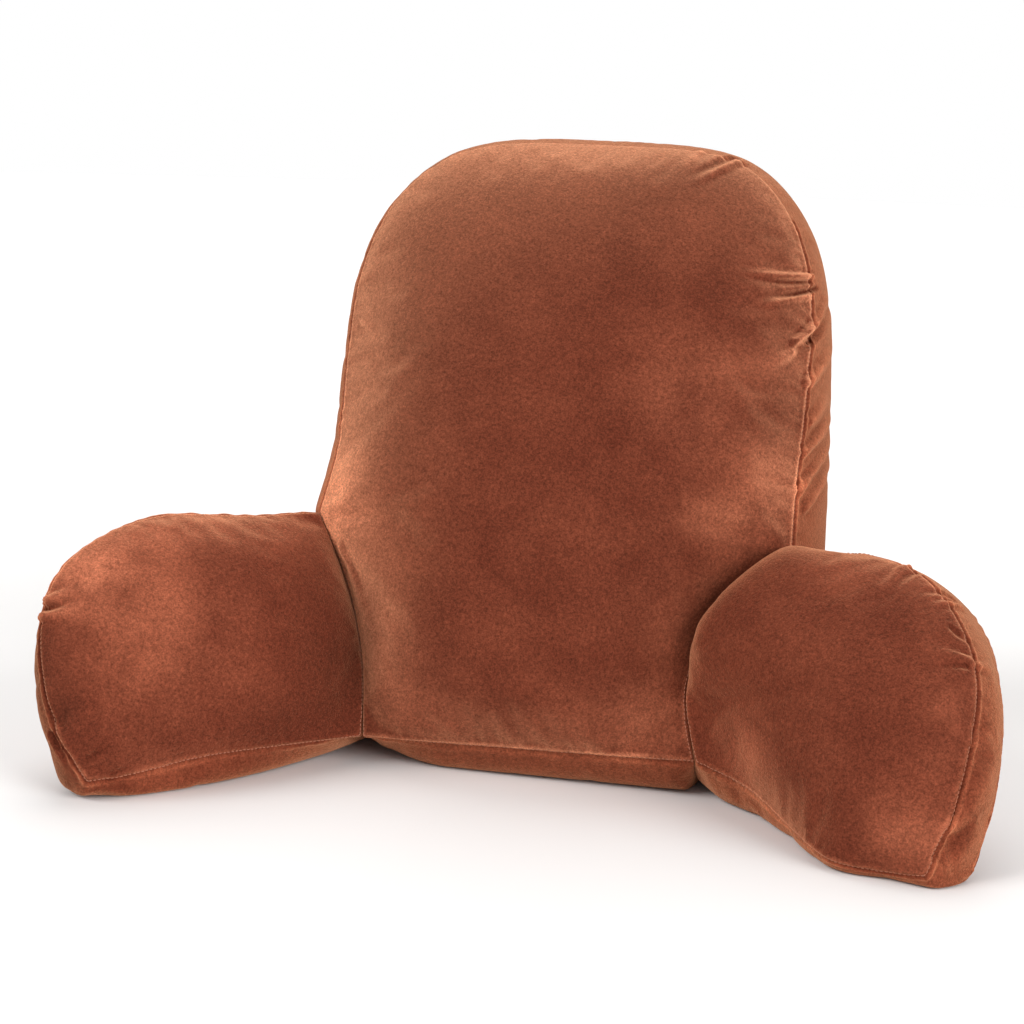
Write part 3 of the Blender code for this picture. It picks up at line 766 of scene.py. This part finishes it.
SEAM_DEPTH, SEAM_WIDTH = 0.0013, 0.0012     # the valley of a seam
LIP_HEIGHT, LIP_AT, LIP_WIDTH = 0.0008, 0.0032, 0.0015    # the raised cloth on both sides of it
PUCKER_RUN, PUCKER_START = 0.014, 0.002     # how far puckers reach from a seam, and from where
PUCKER_LEAST, PUCKER_MORE = 0.35, 1.8       # how strong they are everywhere, and more at places
PUCKER_PLACES = 11                          # about how many such places there are in a metre
PUCKER_TAUT = 0.4                           # share of them that a taut seam has too
PUCKER_PAINTED_LIGHT = 150                           # painted light: how much paler they are for each metre they rise, darker as they sink
PUCKER_WAVES = table("along across strength start stride",
    (75, 18, 1.0, 0.0, 7.0),
    (165, 30, 0.6, 3.0, 5.0))
SEAM_FELT = 3 * PUCKER_RUN                  # beyond this, nothing of a seam is felt
PARTED_PILE_AND_HIGHLIGHT, SEAM_PAINTED_SHADE = 1.10, 0.10       # paler lips where the pile parts, partly painted highlight; the valley darker as painted shade
HINGE_SEAM, HINGE_PALE = 0.15, 0.60         # shares of the valley and the pale pile along a hinge, partly painted highlight


def seam_places(points, loop, reach):
    """For points near a closed seam: distance from it, and place along it in metres."""
    lengths = loop_steps(loop)
    along = np.r_[0, np.cumsum(lengths)[:-1]]
    tree = KDTree(len(loop))
    for i, point in enumerate(loop):
        tree.insert(point, i)
    tree.balance()
    ahead, behind = np.roll(loop, -1, axis=0), np.roll(loop, 1, axis=0)
    distance = np.full(len(points), np.inf)
    place = np.zeros(len(points))
    for n, point in enumerate(points):
        _, i, gap = tree.find(point)
        if gap > reach:
            continue
        distance[n], place[n] = gap, along[i]
        for other, sign, length in ((ahead[i], 1, lengths[i]), (behind[i], -1, lengths[i - 1])):
            run = other - loop[i]
            share = (point - loop[i]).dot(run) / max(run.dot(run), 1e-12)
            if 0 < share <= 1:
                nearer = np.linalg.norm(point - loop[i] - share * run)
                if nearer < distance[n]:
                    distance[n], place[n] = nearer, along[i] + sign * share * length
    return distance, place


def hinge_depth(loop, hinged):
    """How deep a seam lies: shallow where it joins the two cushions, and whole elsewhere."""
    depth = np.ones(len(loop))
    depth[list(hinged)] = HINGE_SEAM
    return depth


def sew_seams(piece, seams, pucker, seed):
    """Draws the cloth in along its seams: a narrow valley with lips, and small puckers across it.

    Each seam is a closed run of points, with how deep it lies at each of them. Its lips and rising
    puckers are painted paler as highlight, its valley and sinking puckers darker as painted shade.
    """
    points, normals = vertex_array(piece.data), vertex_array(piece.data, "normal")
    shift, tone = np.zeros(len(points)), np.zeros(len(points))
    for number, (loop, depth) in enumerate(seams):
        distance, place = seam_places(points, loop, SEAM_FELT)
        near = np.isfinite(distance)
        d, s = distance[near], place[near]
        deep = np.interp(s, np.r_[0, np.cumsum(loop_steps(loop))], np.r_[depth, depth[0]])
        valley = -SEAM_DEPTH * deep * np.exp(-(d / SEAM_WIDTH) ** 2)
        lip = LIP_HEIGHT * deep * np.exp(-((d - LIP_AT) / LIP_WIDTH) ** 2)
        wave = np.array([sum(ripple["strength"] * noise.noise(Vector((
            at * ripple["along"], ripple["start"] + ripple["stride"] * number + seed,
            reach * ripple["across"]))) for ripple in PUCKER_WAVES) for at, reach in zip(s, d)])
        strength = np.array([PUCKER_LEAST + max(0.0, PUCKER_MORE * noise.noise(Vector((
            at * PUCKER_PLACES, seed, number)))) for at in s])
        ruck = pucker * wave * strength
        ruck = ruck * np.exp(-d / PUCKER_RUN) * (1 - np.exp(-(d / PUCKER_START) ** 2))
        shift[near] += valley + lip + ruck * (PUCKER_TAUT + (1 - PUCKER_TAUT) * deep)
        # Painted light: paler lips (partly the parted pile), a darker valley as painted shade,
        # puckers paler as they rise.
        parted_and_highlit = PARTED_PILE_AND_HIGHLIGHT * np.maximum(deep, HINGE_PALE)
        parted_and_highlit = parted_and_highlit * np.exp(-((d - LIP_AT) / LIP_WIDTH) ** 2)
        valley_shade = SEAM_PAINTED_SHADE * deep * np.exp(-(d / SEAM_WIDTH) ** 2)
        tone[near] += parted_and_highlit * strength - valley_shade + PUCKER_PAINTED_LIGHT * ruck
    put_vertices(piece.data, points + normals * shift[:, None])
    piece.data.attributes.new("nap", "FLOAT", "POINT").data.foreach_set("value", tone)


CREASE_STEPS = 60
CREASE_BAND = 2.6                       # how many widths from its middle a crease is felt
CREASE_SIGHT = 0.035                    # how far off the surface a crease's points may lie
CREASE_ROOT, CREASE_TAIL = 0.12, 0.75   # shares of a crease over which its two ends fade
CREASE_SPREAD = 0.8                     # how much wider its tail is than its root
CREASE_HOLLOW, HOLLOW_AT, HOLLOW_WIDTH = 0.3, 1.7, 0.6    # the bend back on both sides of it
FOLD_PAINTED_LIGHT, FOLD_WHOLE = 0.5, 0.003      # how much paler a raised fold is painted, and a sunk one darker, once it is this high
NAP_MOST = 0.7                          # the palest and darkest the painted light of a seam or a fold gets


def crease_line(crease):
    """Points along a crease from its root at a seam to its tail, and how whole it is at each."""
    start, middle, end = (np.array(crease[key]) for key in ("from", "by", "to"))
    share = np.linspace(0, 1, CREASE_STEPS)
    bend = 2 * middle - (start + end) / 2
    line = (np.outer((1 - share) ** 2, start) + np.outer(2 * share * (1 - share), bend)
            + np.outer(share ** 2, end))
    return line, eased(share / CREASE_ROOT) * eased((1 - share) / CREASE_TAIL)


def beside_crease(points, normals, line, reach):
    """Numbers of the points near a crease, how far each is from it along the cloth, and where."""
    middle = line.mean(axis=0)
    span = np.linalg.norm(line - middle, axis=1).max() + reach + CREASE_SIGHT
    close = np.flatnonzero(np.linalg.norm(points - middle, axis=1) < span)
    offset = points[close, None] - line
    upright = (offset * normals[close, None]).sum(axis=2)
    gap = np.linalg.norm(offset - upright[..., None] * normals[close, None], axis=2)
    gap[abs(upright) > CREASE_SIGHT] = np.inf
    place = gap.argmin(axis=1)
    gap = gap[np.arange(len(close)), place]
    return close[gap < reach], gap[gap < reach], place[gap < reach]


def nap_and_light_of(piece):
    """How the pile's nap and its painted light and shade lie at each of the piece's points."""
    tone = np.empty(len(piece.data.vertices))
    piece.data.attributes["nap"].data.foreach_get("value", tone)
    return tone


def press_creases(piece, creases):
    """Folds the cloth sharply along short lines: raised where the height is above 0, else sunk.

    The pile stands open on a raised fold and closes in a sunk one; the raised fold is painted
    paler as highlight, the sunk one darker as painted shade.
    """
    mesh = bmesh.new()
    mesh.from_mesh(piece.data)
    mesh.verts.ensure_lookup_table()
    points, normals = vertex_array(piece.data), vertex_array(piece.data, "normal")
    wanted = set()
    for crease in creases:
        reach = CREASE_BAND * crease["width"]
        wanted.update(beside_crease(points, normals, crease_line(crease)[0], reach)[0].tolist())
    edges = [edge for edge in mesh.edges if all(end.index in wanted for end in edge.verts)]
    bmesh.ops.subdivide_edges(mesh, edges=edges, cuts=1, use_grid_fill=True)
    mesh.to_mesh(piece.data)
    mesh.free()
    points, normals = vertex_array(piece.data), vertex_array(piece.data, "normal")
    shift, tone = np.zeros(len(points)), nap_and_light_of(piece)
    for crease in creases:
        line, whole = crease_line(crease)
        reach = CREASE_BAND * crease["width"] * (1 + CREASE_SPREAD)
        near, gap, place = beside_crease(points, normals, line, reach)
        width = crease["width"] * (1 + CREASE_SPREAD * place / CREASE_STEPS)
        hollow = np.exp(-((gap - HOLLOW_AT * width) / (HOLLOW_WIDTH * width)) ** 2)
        fold = np.exp(-(gap / width) ** 2) - CREASE_HOLLOW * hollow
        shift[near] += crease["height"] * whole[place] * fold
        # Painted highlight on raised folds and painted shade in sunk ones.
        tone[near] += FOLD_PAINTED_LIGHT * np.tanh(crease["height"] / FOLD_WHOLE) * whole[place] * fold
    put_vertices(piece.data, points + normals * shift[:, None])
    piece.data.attributes["nap"].data.foreach_set("value", np.clip(tone, -NAP_MOST, NAP_MOST))


def paint_nap_and_light(piece, patches):
    """Paints patches paler, or darker where the tone is below 0: painted highlight and shade."""
    points = vertex_array(piece.data)
    tone = nap_and_light_of(piece)
    for patch in patches:
        off = (points - patch["at"]) / patch["reach"]
        tone += patch["tone"] * np.exp(-(off * off).sum(axis=1))
    piece.data.attributes["nap"].data.foreach_set("value", tone)


# Thread shows as a row of short stitches just inside each front seam.
STITCH_PITCH, STITCH_LENGTH, STITCH_THICK = 0.0038, 0.0027, 0.00044
STITCH_INSET = 0.0022                      # how far the thread lies from the middle of the seam
STITCH_SEAT = 0.4                          # how far it stands out of the cloth, in thicknesses
STITCH_SIDES = 5
STITCH_SHAPE = ((-0.5, 0.35), (-0.3, 1.0), (0.3, 1.0), (0.5, 0.35))    # place along it, thickness
THREAD_DARK, THREAD_PALE, THREAD_TWIST = (0.32, 0.095, 0.050, 1), (0.56, 0.240, 0.140, 1), 900.0

thread, thread_shader = principled("thread", Roughness=0.7)
thread_nodes, thread_links = thread.node_tree.nodes, thread.node_tree.links
twist = texture(thread_nodes, "ShaderNodeTexNoise", Scale=THREAD_TWIST, Detail=1.0)
shades = thread_nodes.new("ShaderNodeValToRGB")
shades.color_ramp.elements[0].color = THREAD_DARK
shades.color_ramp.elements[1].color = THREAD_PALE
thread_links.new(twist.outputs["Fac"], shades.inputs["Fac"])
thread_links.new(shades.outputs["Color"], thread_shader.inputs["Base Color"])


def stitch_row(name, cover, run, middle):
    """A row of thread stitches on the cloth, just inside the seam that a run of points gives."""
    tree = BVHTree.FromObject(cover, bpy.context.evaluated_depsgraph_get())
    length = np.linalg.norm(np.diff(run, axis=0), axis=1).sum()
    marks = spaced(run, int(length / STITCH_PITCH))
    points, faces = [], []
    for here, following in zip(marks, marks[1:]):
        along = (following - here) / np.linalg.norm(following - here)
        inward = square_to(middle - here, along)
        halfway = (here + following) / 2 + inward * STITCH_INSET
        spot, normal, _, _ = tree.find_nearest(Vector(halfway))
        outward = np.array(normal)
        along = square_to(along, outward)
        across = np.cross(outward, along)
        first = len(points)
        for place, thick in STITCH_SHAPE:
            for side in range(STITCH_SIDES):
                turn = 2 * pi * side / STITCH_SIDES
                around = cos(turn) * across + sin(turn) * outward
                points.append(np.array(spot) + along * place * STITCH_LENGTH
                              + around * thick * STITCH_THICK
                              + outward * STITCH_SEAT * STITCH_THICK)
        rings = [list(range(first + k * STITCH_SIDES, first + (k + 1) * STITCH_SIDES))
                 for k in range(len(STITCH_SHAPE))]
        faces += [rings[0][::-1], rings[-1]]
        for low, high in zip(rings, rings[1:]):
            for k in range(STITCH_SIDES):
                j = (k + 1) % STITCH_SIDES
                faces.append((low[k], low[j], high[j], high[k]))
    mesh = bpy.data.meshes.new(name)
    mesh.from_pydata([tuple(point) for point in points], [], faces)
    mesh.materials.append(thread)
    mesh.shade_smooth()
    row = placed(name, mesh)
    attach(row, "root")


LEFT_ARM_CREASES = table("from by to height width",
    ((-0.407, -0.196, 0.146), (-0.389, -0.202, 0.153), (-0.356, -0.192, 0.166), 0.0032, 0.0030),
    ((-0.408, -0.190, 0.152), (-0.396, -0.198, 0.156), (-0.378, -0.198, 0.161), -0.0034, 0.0026),
    ((-0.403, -0.190, 0.160), (-0.391, -0.192, 0.166), (-0.364, -0.182, 0.176), 0.0028, 0.0032),
    ((-0.383, -0.236, 0.060), (-0.369, -0.241, 0.043), (-0.352, -0.242, 0.028), -0.0034, 0.0028),
    ((-0.349, -0.242, 0.038), (-0.337, -0.238, 0.045), (-0.331, -0.232, 0.056), -0.0034, 0.0028),
    ((-0.375, -0.237, 0.064), (-0.366, -0.234, 0.082), (-0.356, -0.226, 0.100), -0.0026, 0.0080),
    ((-0.328, -0.238, 0.024), (-0.320, -0.232, 0.026), (-0.311, -0.224, 0.029), -0.0026, 0.0024))
RIGHT_ARM_CREASES = table("from by to height width",
    ((0.386, -0.132, 0.168), (0.366, -0.133, 0.172), (0.338, -0.132, 0.177), 0.0024, 0.0024),
    ((0.386, -0.132, 0.161), (0.367, -0.141, 0.165), (0.342, -0.146, 0.164), -0.0020, 0.0022),
    ((0.380, -0.137, 0.166), (0.392, -0.122, 0.160), (0.405, -0.086, 0.150), 0.0024, 0.0028),
    ((0.370, -0.064, 0.200), (0.352, -0.080, 0.209), (0.328, -0.094, 0.214), -0.0024, 0.0024),
    ((0.374, -0.070, 0.195), (0.358, -0.091, 0.202), (0.338, -0.108, 0.205), 0.0022, 0.0024),
    ((0.330, -0.046, 0.226), (0.315, -0.069, 0.220), (0.298, -0.104, 0.197), 0.0020, 0.0030),
    ((0.340, -0.054, 0.221), (0.324, -0.072, 0.218), (0.308, -0.098, 0.204), -0.0020, 0.0026),
    ((0.362, -0.112, 0.193), (0.376, -0.118, 0.183), (0.396, -0.108, 0.168), -0.0018, 0.0022),
    ((0.367, -0.216, 0.022), (0.386, -0.198, 0.046), (0.410, -0.150, 0.084), -0.0022, 0.0070),
    ((0.374, -0.206, 0.044), (0.392, -0.188, 0.066), (0.410, -0.150, 0.092), 0.0020, 0.0050),
    ((0.386, -0.172, 0.108), (0.399, -0.159, 0.112), (0.411, -0.128, 0.114), 0.0016, 0.0044))
# Patches painted paler or darker on each arm, partly brushed pile: the pale ones are painted
# highlight and sheen where the velvet is lit or seen along, the dark ones painted shade, as on the
# left arm's end gusset and by its hinge.
LEFT_ARM_NAP_AND_PAINTED_LIGHT = table("at reach tone",
    ((-0.380, -0.165, 0.186), (0.045, 0.050, 0.034), 1.25),
    ((-0.386, -0.200, 0.154), (0.020, 0.020, 0.006), 0.25),
    ((-0.300, -0.090, 0.212), (0.090, 0.070, 0.018), 0.40),
    ((-0.305, -0.180, 0.140), (0.055, 0.055, 0.060), 0.42),
    ((-0.175, -0.070, 0.100), (0.042, 0.048, 0.075), -0.62),
    ((-0.405, -0.212, 0.110), (0.018, 0.028, 0.040), -0.50),
    ((-0.398, -0.222, 0.065), (0.018, 0.028, 0.036), -0.60),
    ((-0.378, -0.230, 0.022), (0.024, 0.028, 0.028), -0.60),
    ((-0.370, -0.232, 0.080), (0.020, 0.020, 0.025), -0.20),
    ((-0.290, -0.215, 0.035), (0.040, 0.040, 0.030), 0.25),
    ((-0.215, -0.120, 0.055), (0.050, 0.050, 0.020), -0.30))
RIGHT_ARM_NAP_AND_PAINTED_LIGHT = table("at reach tone",
    ((0.368, -0.160, 0.125), (0.020, 0.035, 0.040), 0.35),
    ((0.345, -0.205, 0.035), (0.035, 0.030, 0.032), 0.65),
    ((0.200, -0.110, 0.062), (0.035, 0.030, 0.030), 0.30),
    ((0.300, -0.080, 0.215), (0.060, 0.040, 0.015), 0.25),
    ((0.400, -0.135, 0.140), (0.020, 0.040, 0.030), 0.10),
    ((0.210, -0.050, 0.130), (0.030, 0.040, 0.050), -0.15))
# Each arm's creases, and its patches of painted highlight and painted shade.
ARM_CREASES_AND_PAINTED_LIGHT = {"arm_left": (LEFT_ARM_CREASES, LEFT_ARM_NAP_AND_PAINTED_LIGHT),
                "arm_right": (RIGHT_ARM_CREASES, RIGHT_ARM_NAP_AND_PAINTED_LIGHT)}

arm_covers = {}
for arm in ARMS:
    inner, outer, hinged = arm_edges(arm)
    filling = ARM_FILL | {"hinge_stuffing": arm["hinge_stuffing"]}
    cover, held, panel_count = sewn_cover(
        arm["name"] + "_cover", inner, outer, hinged, filling,
        (HINGES[-1]["arm_run"], HINGES[1]["arm_run"]), arm_velvet,
        (HINGE_STEPS + ARM_FOOT_STEPS, arm["corner_run"]))
    roll_over(cover, panel_count, inner, hinged, ROLLS[arm["name"]])
    fill_cover(cover, held, pressure=5.0, spare=0.012, most=0.010)
    refine(cover)
    seam_depth = hinge_depth(inner, hinged)
    sew_seams(cover, ((inner, seam_depth), (outer, seam_depth)), pucker=0.0010,
              seed=arm["side"] * 3.0)
    creases, nap = ARM_CREASES_AND_PAINTED_LIGHT[arm["name"]]
    press_creases(cover, creases)
    flatten_base(cover)
    # Patches of painted highlight and painted shade on the pile.
    paint_nap_and_light(cover, nap)
    arm_covers[arm["name"]] = cover
    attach(cover, "root")
    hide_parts(arm["name"])
    stitch_row(arm["name"] + "_stitches", cover, np.vstack([inner, inner[:1]]), inner.mean(axis=0))


# ---- Backrest ---------------------------------------------------------------------------------
# The big wedge-shaped cushion: a front panel and a back panel with rounded tops, joined by a
# gusset that widens towards the base. The arms are sewn into its two lower sides.

FACE_OUTLINE = table("share front rear shift",
    (0.18, 0.216, 0.222, 0.004),
    (0.40, 0.218, 0.215, 0.003),
    (0.62, 0.215, 0.206, 0.002),
    (0.80, 0.194, 0.187, 0.002),
    (0.93, 0.152, 0.147, 0.005),
    (0.985, 0.096, 0.092, 0.010),
    (0.995, 0.0, 0.0, 0.008))
BACKREST_FILL = {"near_crown": 0.070, "far_crown": 0.030, "swell": BACKREST_SWELL,
                 "top_swell": 0.016, "swell_run": 0.001, "hinge_stuffing": 0.0,
                 "slack": (0.0, 0.75)}
TAUT_FROM, TAUT_SEAM = 0.50, 0.1      # height above which the front seam is pulled almost smooth
BACKREST_FOOT_STEPS, BACKREST_SHELL_STEPS = 70, 250


def backrest_edges():
    """Front and back panel edges: foot, right hinge, over the top, left hinge.

    The third value tells, for each edge point on a hinge, its wall and its column there.
    """
    right, left = hinge_wall(1, 0), hinge_wall(-1, 0)
    rise = FACE_HEIGHT - HINGE_TOP_UP
    halves = []
    for side, wall in ((1, right), (-1, left)):
        half = [np.r_[wall[0, -1], wall[-1, -1]]]
        for row in FACE_OUTLINE:
            up = HINGE_TOP_UP + row["share"] * rise
            front_x, rear_x = (side * row[panel] + row["shift"] for panel in ("front", "rear"))
            half.append(np.r_[on_front(front_x, up), on_rear(rear_x, up)])
        halves.append(half)
    shell = smooth_curve(halves[0] + halves[1][-2::-1], BACKREST_SHELL_STEPS)
    foot = smooth_curve([np.r_[wall[0, 0], wall[-1, 0]] for wall in (left, right)],
                        BACKREST_FOOT_STEPS)
    front = np.vstack([foot[:-1, :3], right[0, :-1], shell[:-1, :3], left[0, :0:-1]])
    rear = np.vstack([foot[:-1, 3:], right[-1, :-1], shell[:-1, 3:], left[-1, :0:-1]])
    left_start = BACKREST_FOOT_STEPS + HINGE_STEPS + BACKREST_SHELL_STEPS
    hinged = {}
    for i in range(HINGE_STEPS + 1):
        hinged[BACKREST_FOOT_STEPS + i] = (right, i)
        hinged[(left_start + i) % len(front)] = (left, HINGE_STEPS - i)
    return front, rear, hinged


SQUARE_ON = 0.8           # share of the distance that has to lie along the neighbour's normal


def give_way(piece, firmer, gap, most):
    """Presses a cushion's surface back where a firmer neighbour bulges into it."""
    tree = BVHTree.FromObject(firmer, bpy.context.evaluated_depsgraph_get())
    points = vertex_array(piece.data)
    for i, point in enumerate(points):
        spot, normal, _, distance = tree.find_nearest(Vector(point), most)
        if spot is None:
            continue
        depth = (Vector(point) - spot).dot(normal)
        if depth < gap and abs(depth) > SQUARE_ON * distance:
            points[i] = spot + normal * gap
    put_vertices(piece.data, points)


BACKREST_CREASES = table("from by to height width",
    ((0.135, 0.163, 0.554), (0.118, 0.134, 0.547), (0.092, 0.104, 0.532), -0.0030, 0.0030),
    ((0.143, 0.157, 0.549), (0.122, 0.125, 0.543), (0.090, 0.098, 0.528), 0.0026, 0.0030),
    ((0.103, 0.160, 0.558), (0.096, 0.134, 0.552), (0.084, 0.112, 0.539), 0.0016, 0.0034),
    ((0.224, 0.114, 0.453), (0.186, 0.080, 0.453), (0.142, 0.062, 0.458), 0.0032, 0.0022),
    ((0.218, 0.106, 0.447), (0.188, 0.078, 0.447), (0.150, 0.060, 0.450), -0.0022, 0.0022),
    ((0.224, 0.114, 0.442), (0.197, 0.078, 0.437), (0.158, 0.056, 0.430), -0.0034, 0.0022),
    ((0.216, 0.096, 0.434), (0.192, 0.074, 0.430), (0.156, 0.054, 0.425), 0.0024, 0.0024),
    ((0.206, 0.058, 0.388), (0.224, 0.094, 0.403), (0.228, 0.155, 0.430), -0.0042, 0.0032),
    ((0.206, 0.056, 0.396), (0.223, 0.092, 0.412), (0.227, 0.150, 0.440), 0.0042, 0.0032),
    ((0.221, 0.076, 0.397), (0.199, 0.052, 0.383), (0.168, 0.028, 0.364), 0.0028, 0.0030),
    ((0.216, 0.058, 0.356), (0.229, 0.096, 0.372), (0.232, 0.165, 0.392), 0.0042, 0.0044),
    ((0.220, 0.054, 0.322), (0.231, 0.084, 0.334), (0.235, 0.135, 0.350), 0.0034, 0.0044),
    ((0.220, 0.036, 0.295), (0.232, 0.082, 0.312), (0.237, 0.165, 0.328), 0.0042, 0.0036),
    ((0.220, 0.022, 0.261), (0.231, 0.072, 0.286), (0.237, 0.165, 0.306), 0.0040, 0.0038),
    ((0.222, 0.026, 0.245), (0.235, 0.078, 0.266), (0.238, 0.165, 0.284), 0.0034, 0.0038),
    ((-0.186, 0.000, 0.196), (-0.172, -0.024, 0.160), (-0.148, -0.054, 0.110), 0.0026, 0.0036),
    ((-0.208, 0.060, 0.392), (-0.196, 0.048, 0.388), (-0.172, 0.034, 0.380), 0.0016, 0.0032))
# Patches painted paler or darker on the backrest, partly brushed pile: the pale ones along its
# left and right rims and low front are painted sheen and highlight, the dark ones painted shade.
BACKREST_NAP_AND_PAINTED_LIGHT = table("at reach tone",
    ((-0.198, -0.010, 0.222), (0.034, 0.060, 0.044), 1.25),
    ((0.195, 0.010, 0.285), (0.035, 0.040, 0.030), 0.50),
    ((0.165, -0.020, 0.245), (0.050, 0.040, 0.022), 0.65),
    ((0.175, 0.034, 0.378), (0.050, 0.040, 0.025), 0.14),
    ((0.120, 0.010, 0.330), (0.050, 0.040, 0.060), 0.30),
    ((0.100, -0.070, 0.070), (0.060, 0.030, 0.035), 0.45),
    ((0.110, -0.055, 0.170), (0.030, 0.040, 0.050), 0.20),
    ((-0.130, -0.050, 0.090), (0.030, 0.040, 0.060), 0.35),
    ((-0.130, -0.035, 0.170), (0.040, 0.040, 0.050), 0.12),
    ((-0.080, -0.070, 0.070), (0.040, 0.030, 0.030), 0.20),
    ((-0.152, -0.058, 0.100), (0.010, 0.030, 0.050), -0.40),
    ((0.232, 0.080, 0.290), (0.015, 0.070, 0.060), -0.10),
    ((0.090, 0.110, 0.535), (0.070, 0.060, 0.030), -0.22),
    ((-0.150, 0.080, 0.470), (0.050, 0.060, 0.040), -0.15))

front_edge, rear_edge, backrest_hinged = backrest_edges()
backrest_cover, backrest_held, _ = sewn_cover(
    "backrest_cover", front_edge, rear_edge, backrest_hinged, BACKREST_FILL,
    (HINGES[-1]["backrest_run"], HINGES[1]["backrest_run"]), panel_velvet)
fill_cover(backrest_cover, backrest_held, pressure=4.0, spare=0.010, most=0.012)
refine(backrest_cover)
seam_depth = hinge_depth(front_edge, backrest_hinged)
seam_depth[front_edge[:, 2] > TAUT_FROM] = TAUT_SEAM
sew_seams(backrest_cover, ((front_edge, seam_depth), (rear_edge, seam_depth)), pucker=0.0022,
          seed=20.0)
press_creases(backrest_cover, BACKREST_CREASES)
flatten_base(backrest_cover)
for neighbour in arm_covers.values():
    give_way(backrest_cover, neighbour, gap=0.0004, most=0.03)
# Patches of painted highlight and painted shade on the pile.
paint_nap_and_light(backrest_cover, BACKREST_NAP_AND_PAINTED_LIGHT)
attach(backrest_cover, "root")
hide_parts("backrest")
over_top = np.flatnonzero(front_edge[:, 2] > TAUT_FROM)
open_run = np.roll(front_edge, -(over_top[-1] + 1), axis=0)[:len(front_edge) - len(over_top)]
stitch_row("backrest_stitches", backrest_cover, open_run, front_edge.mean(axis=0))
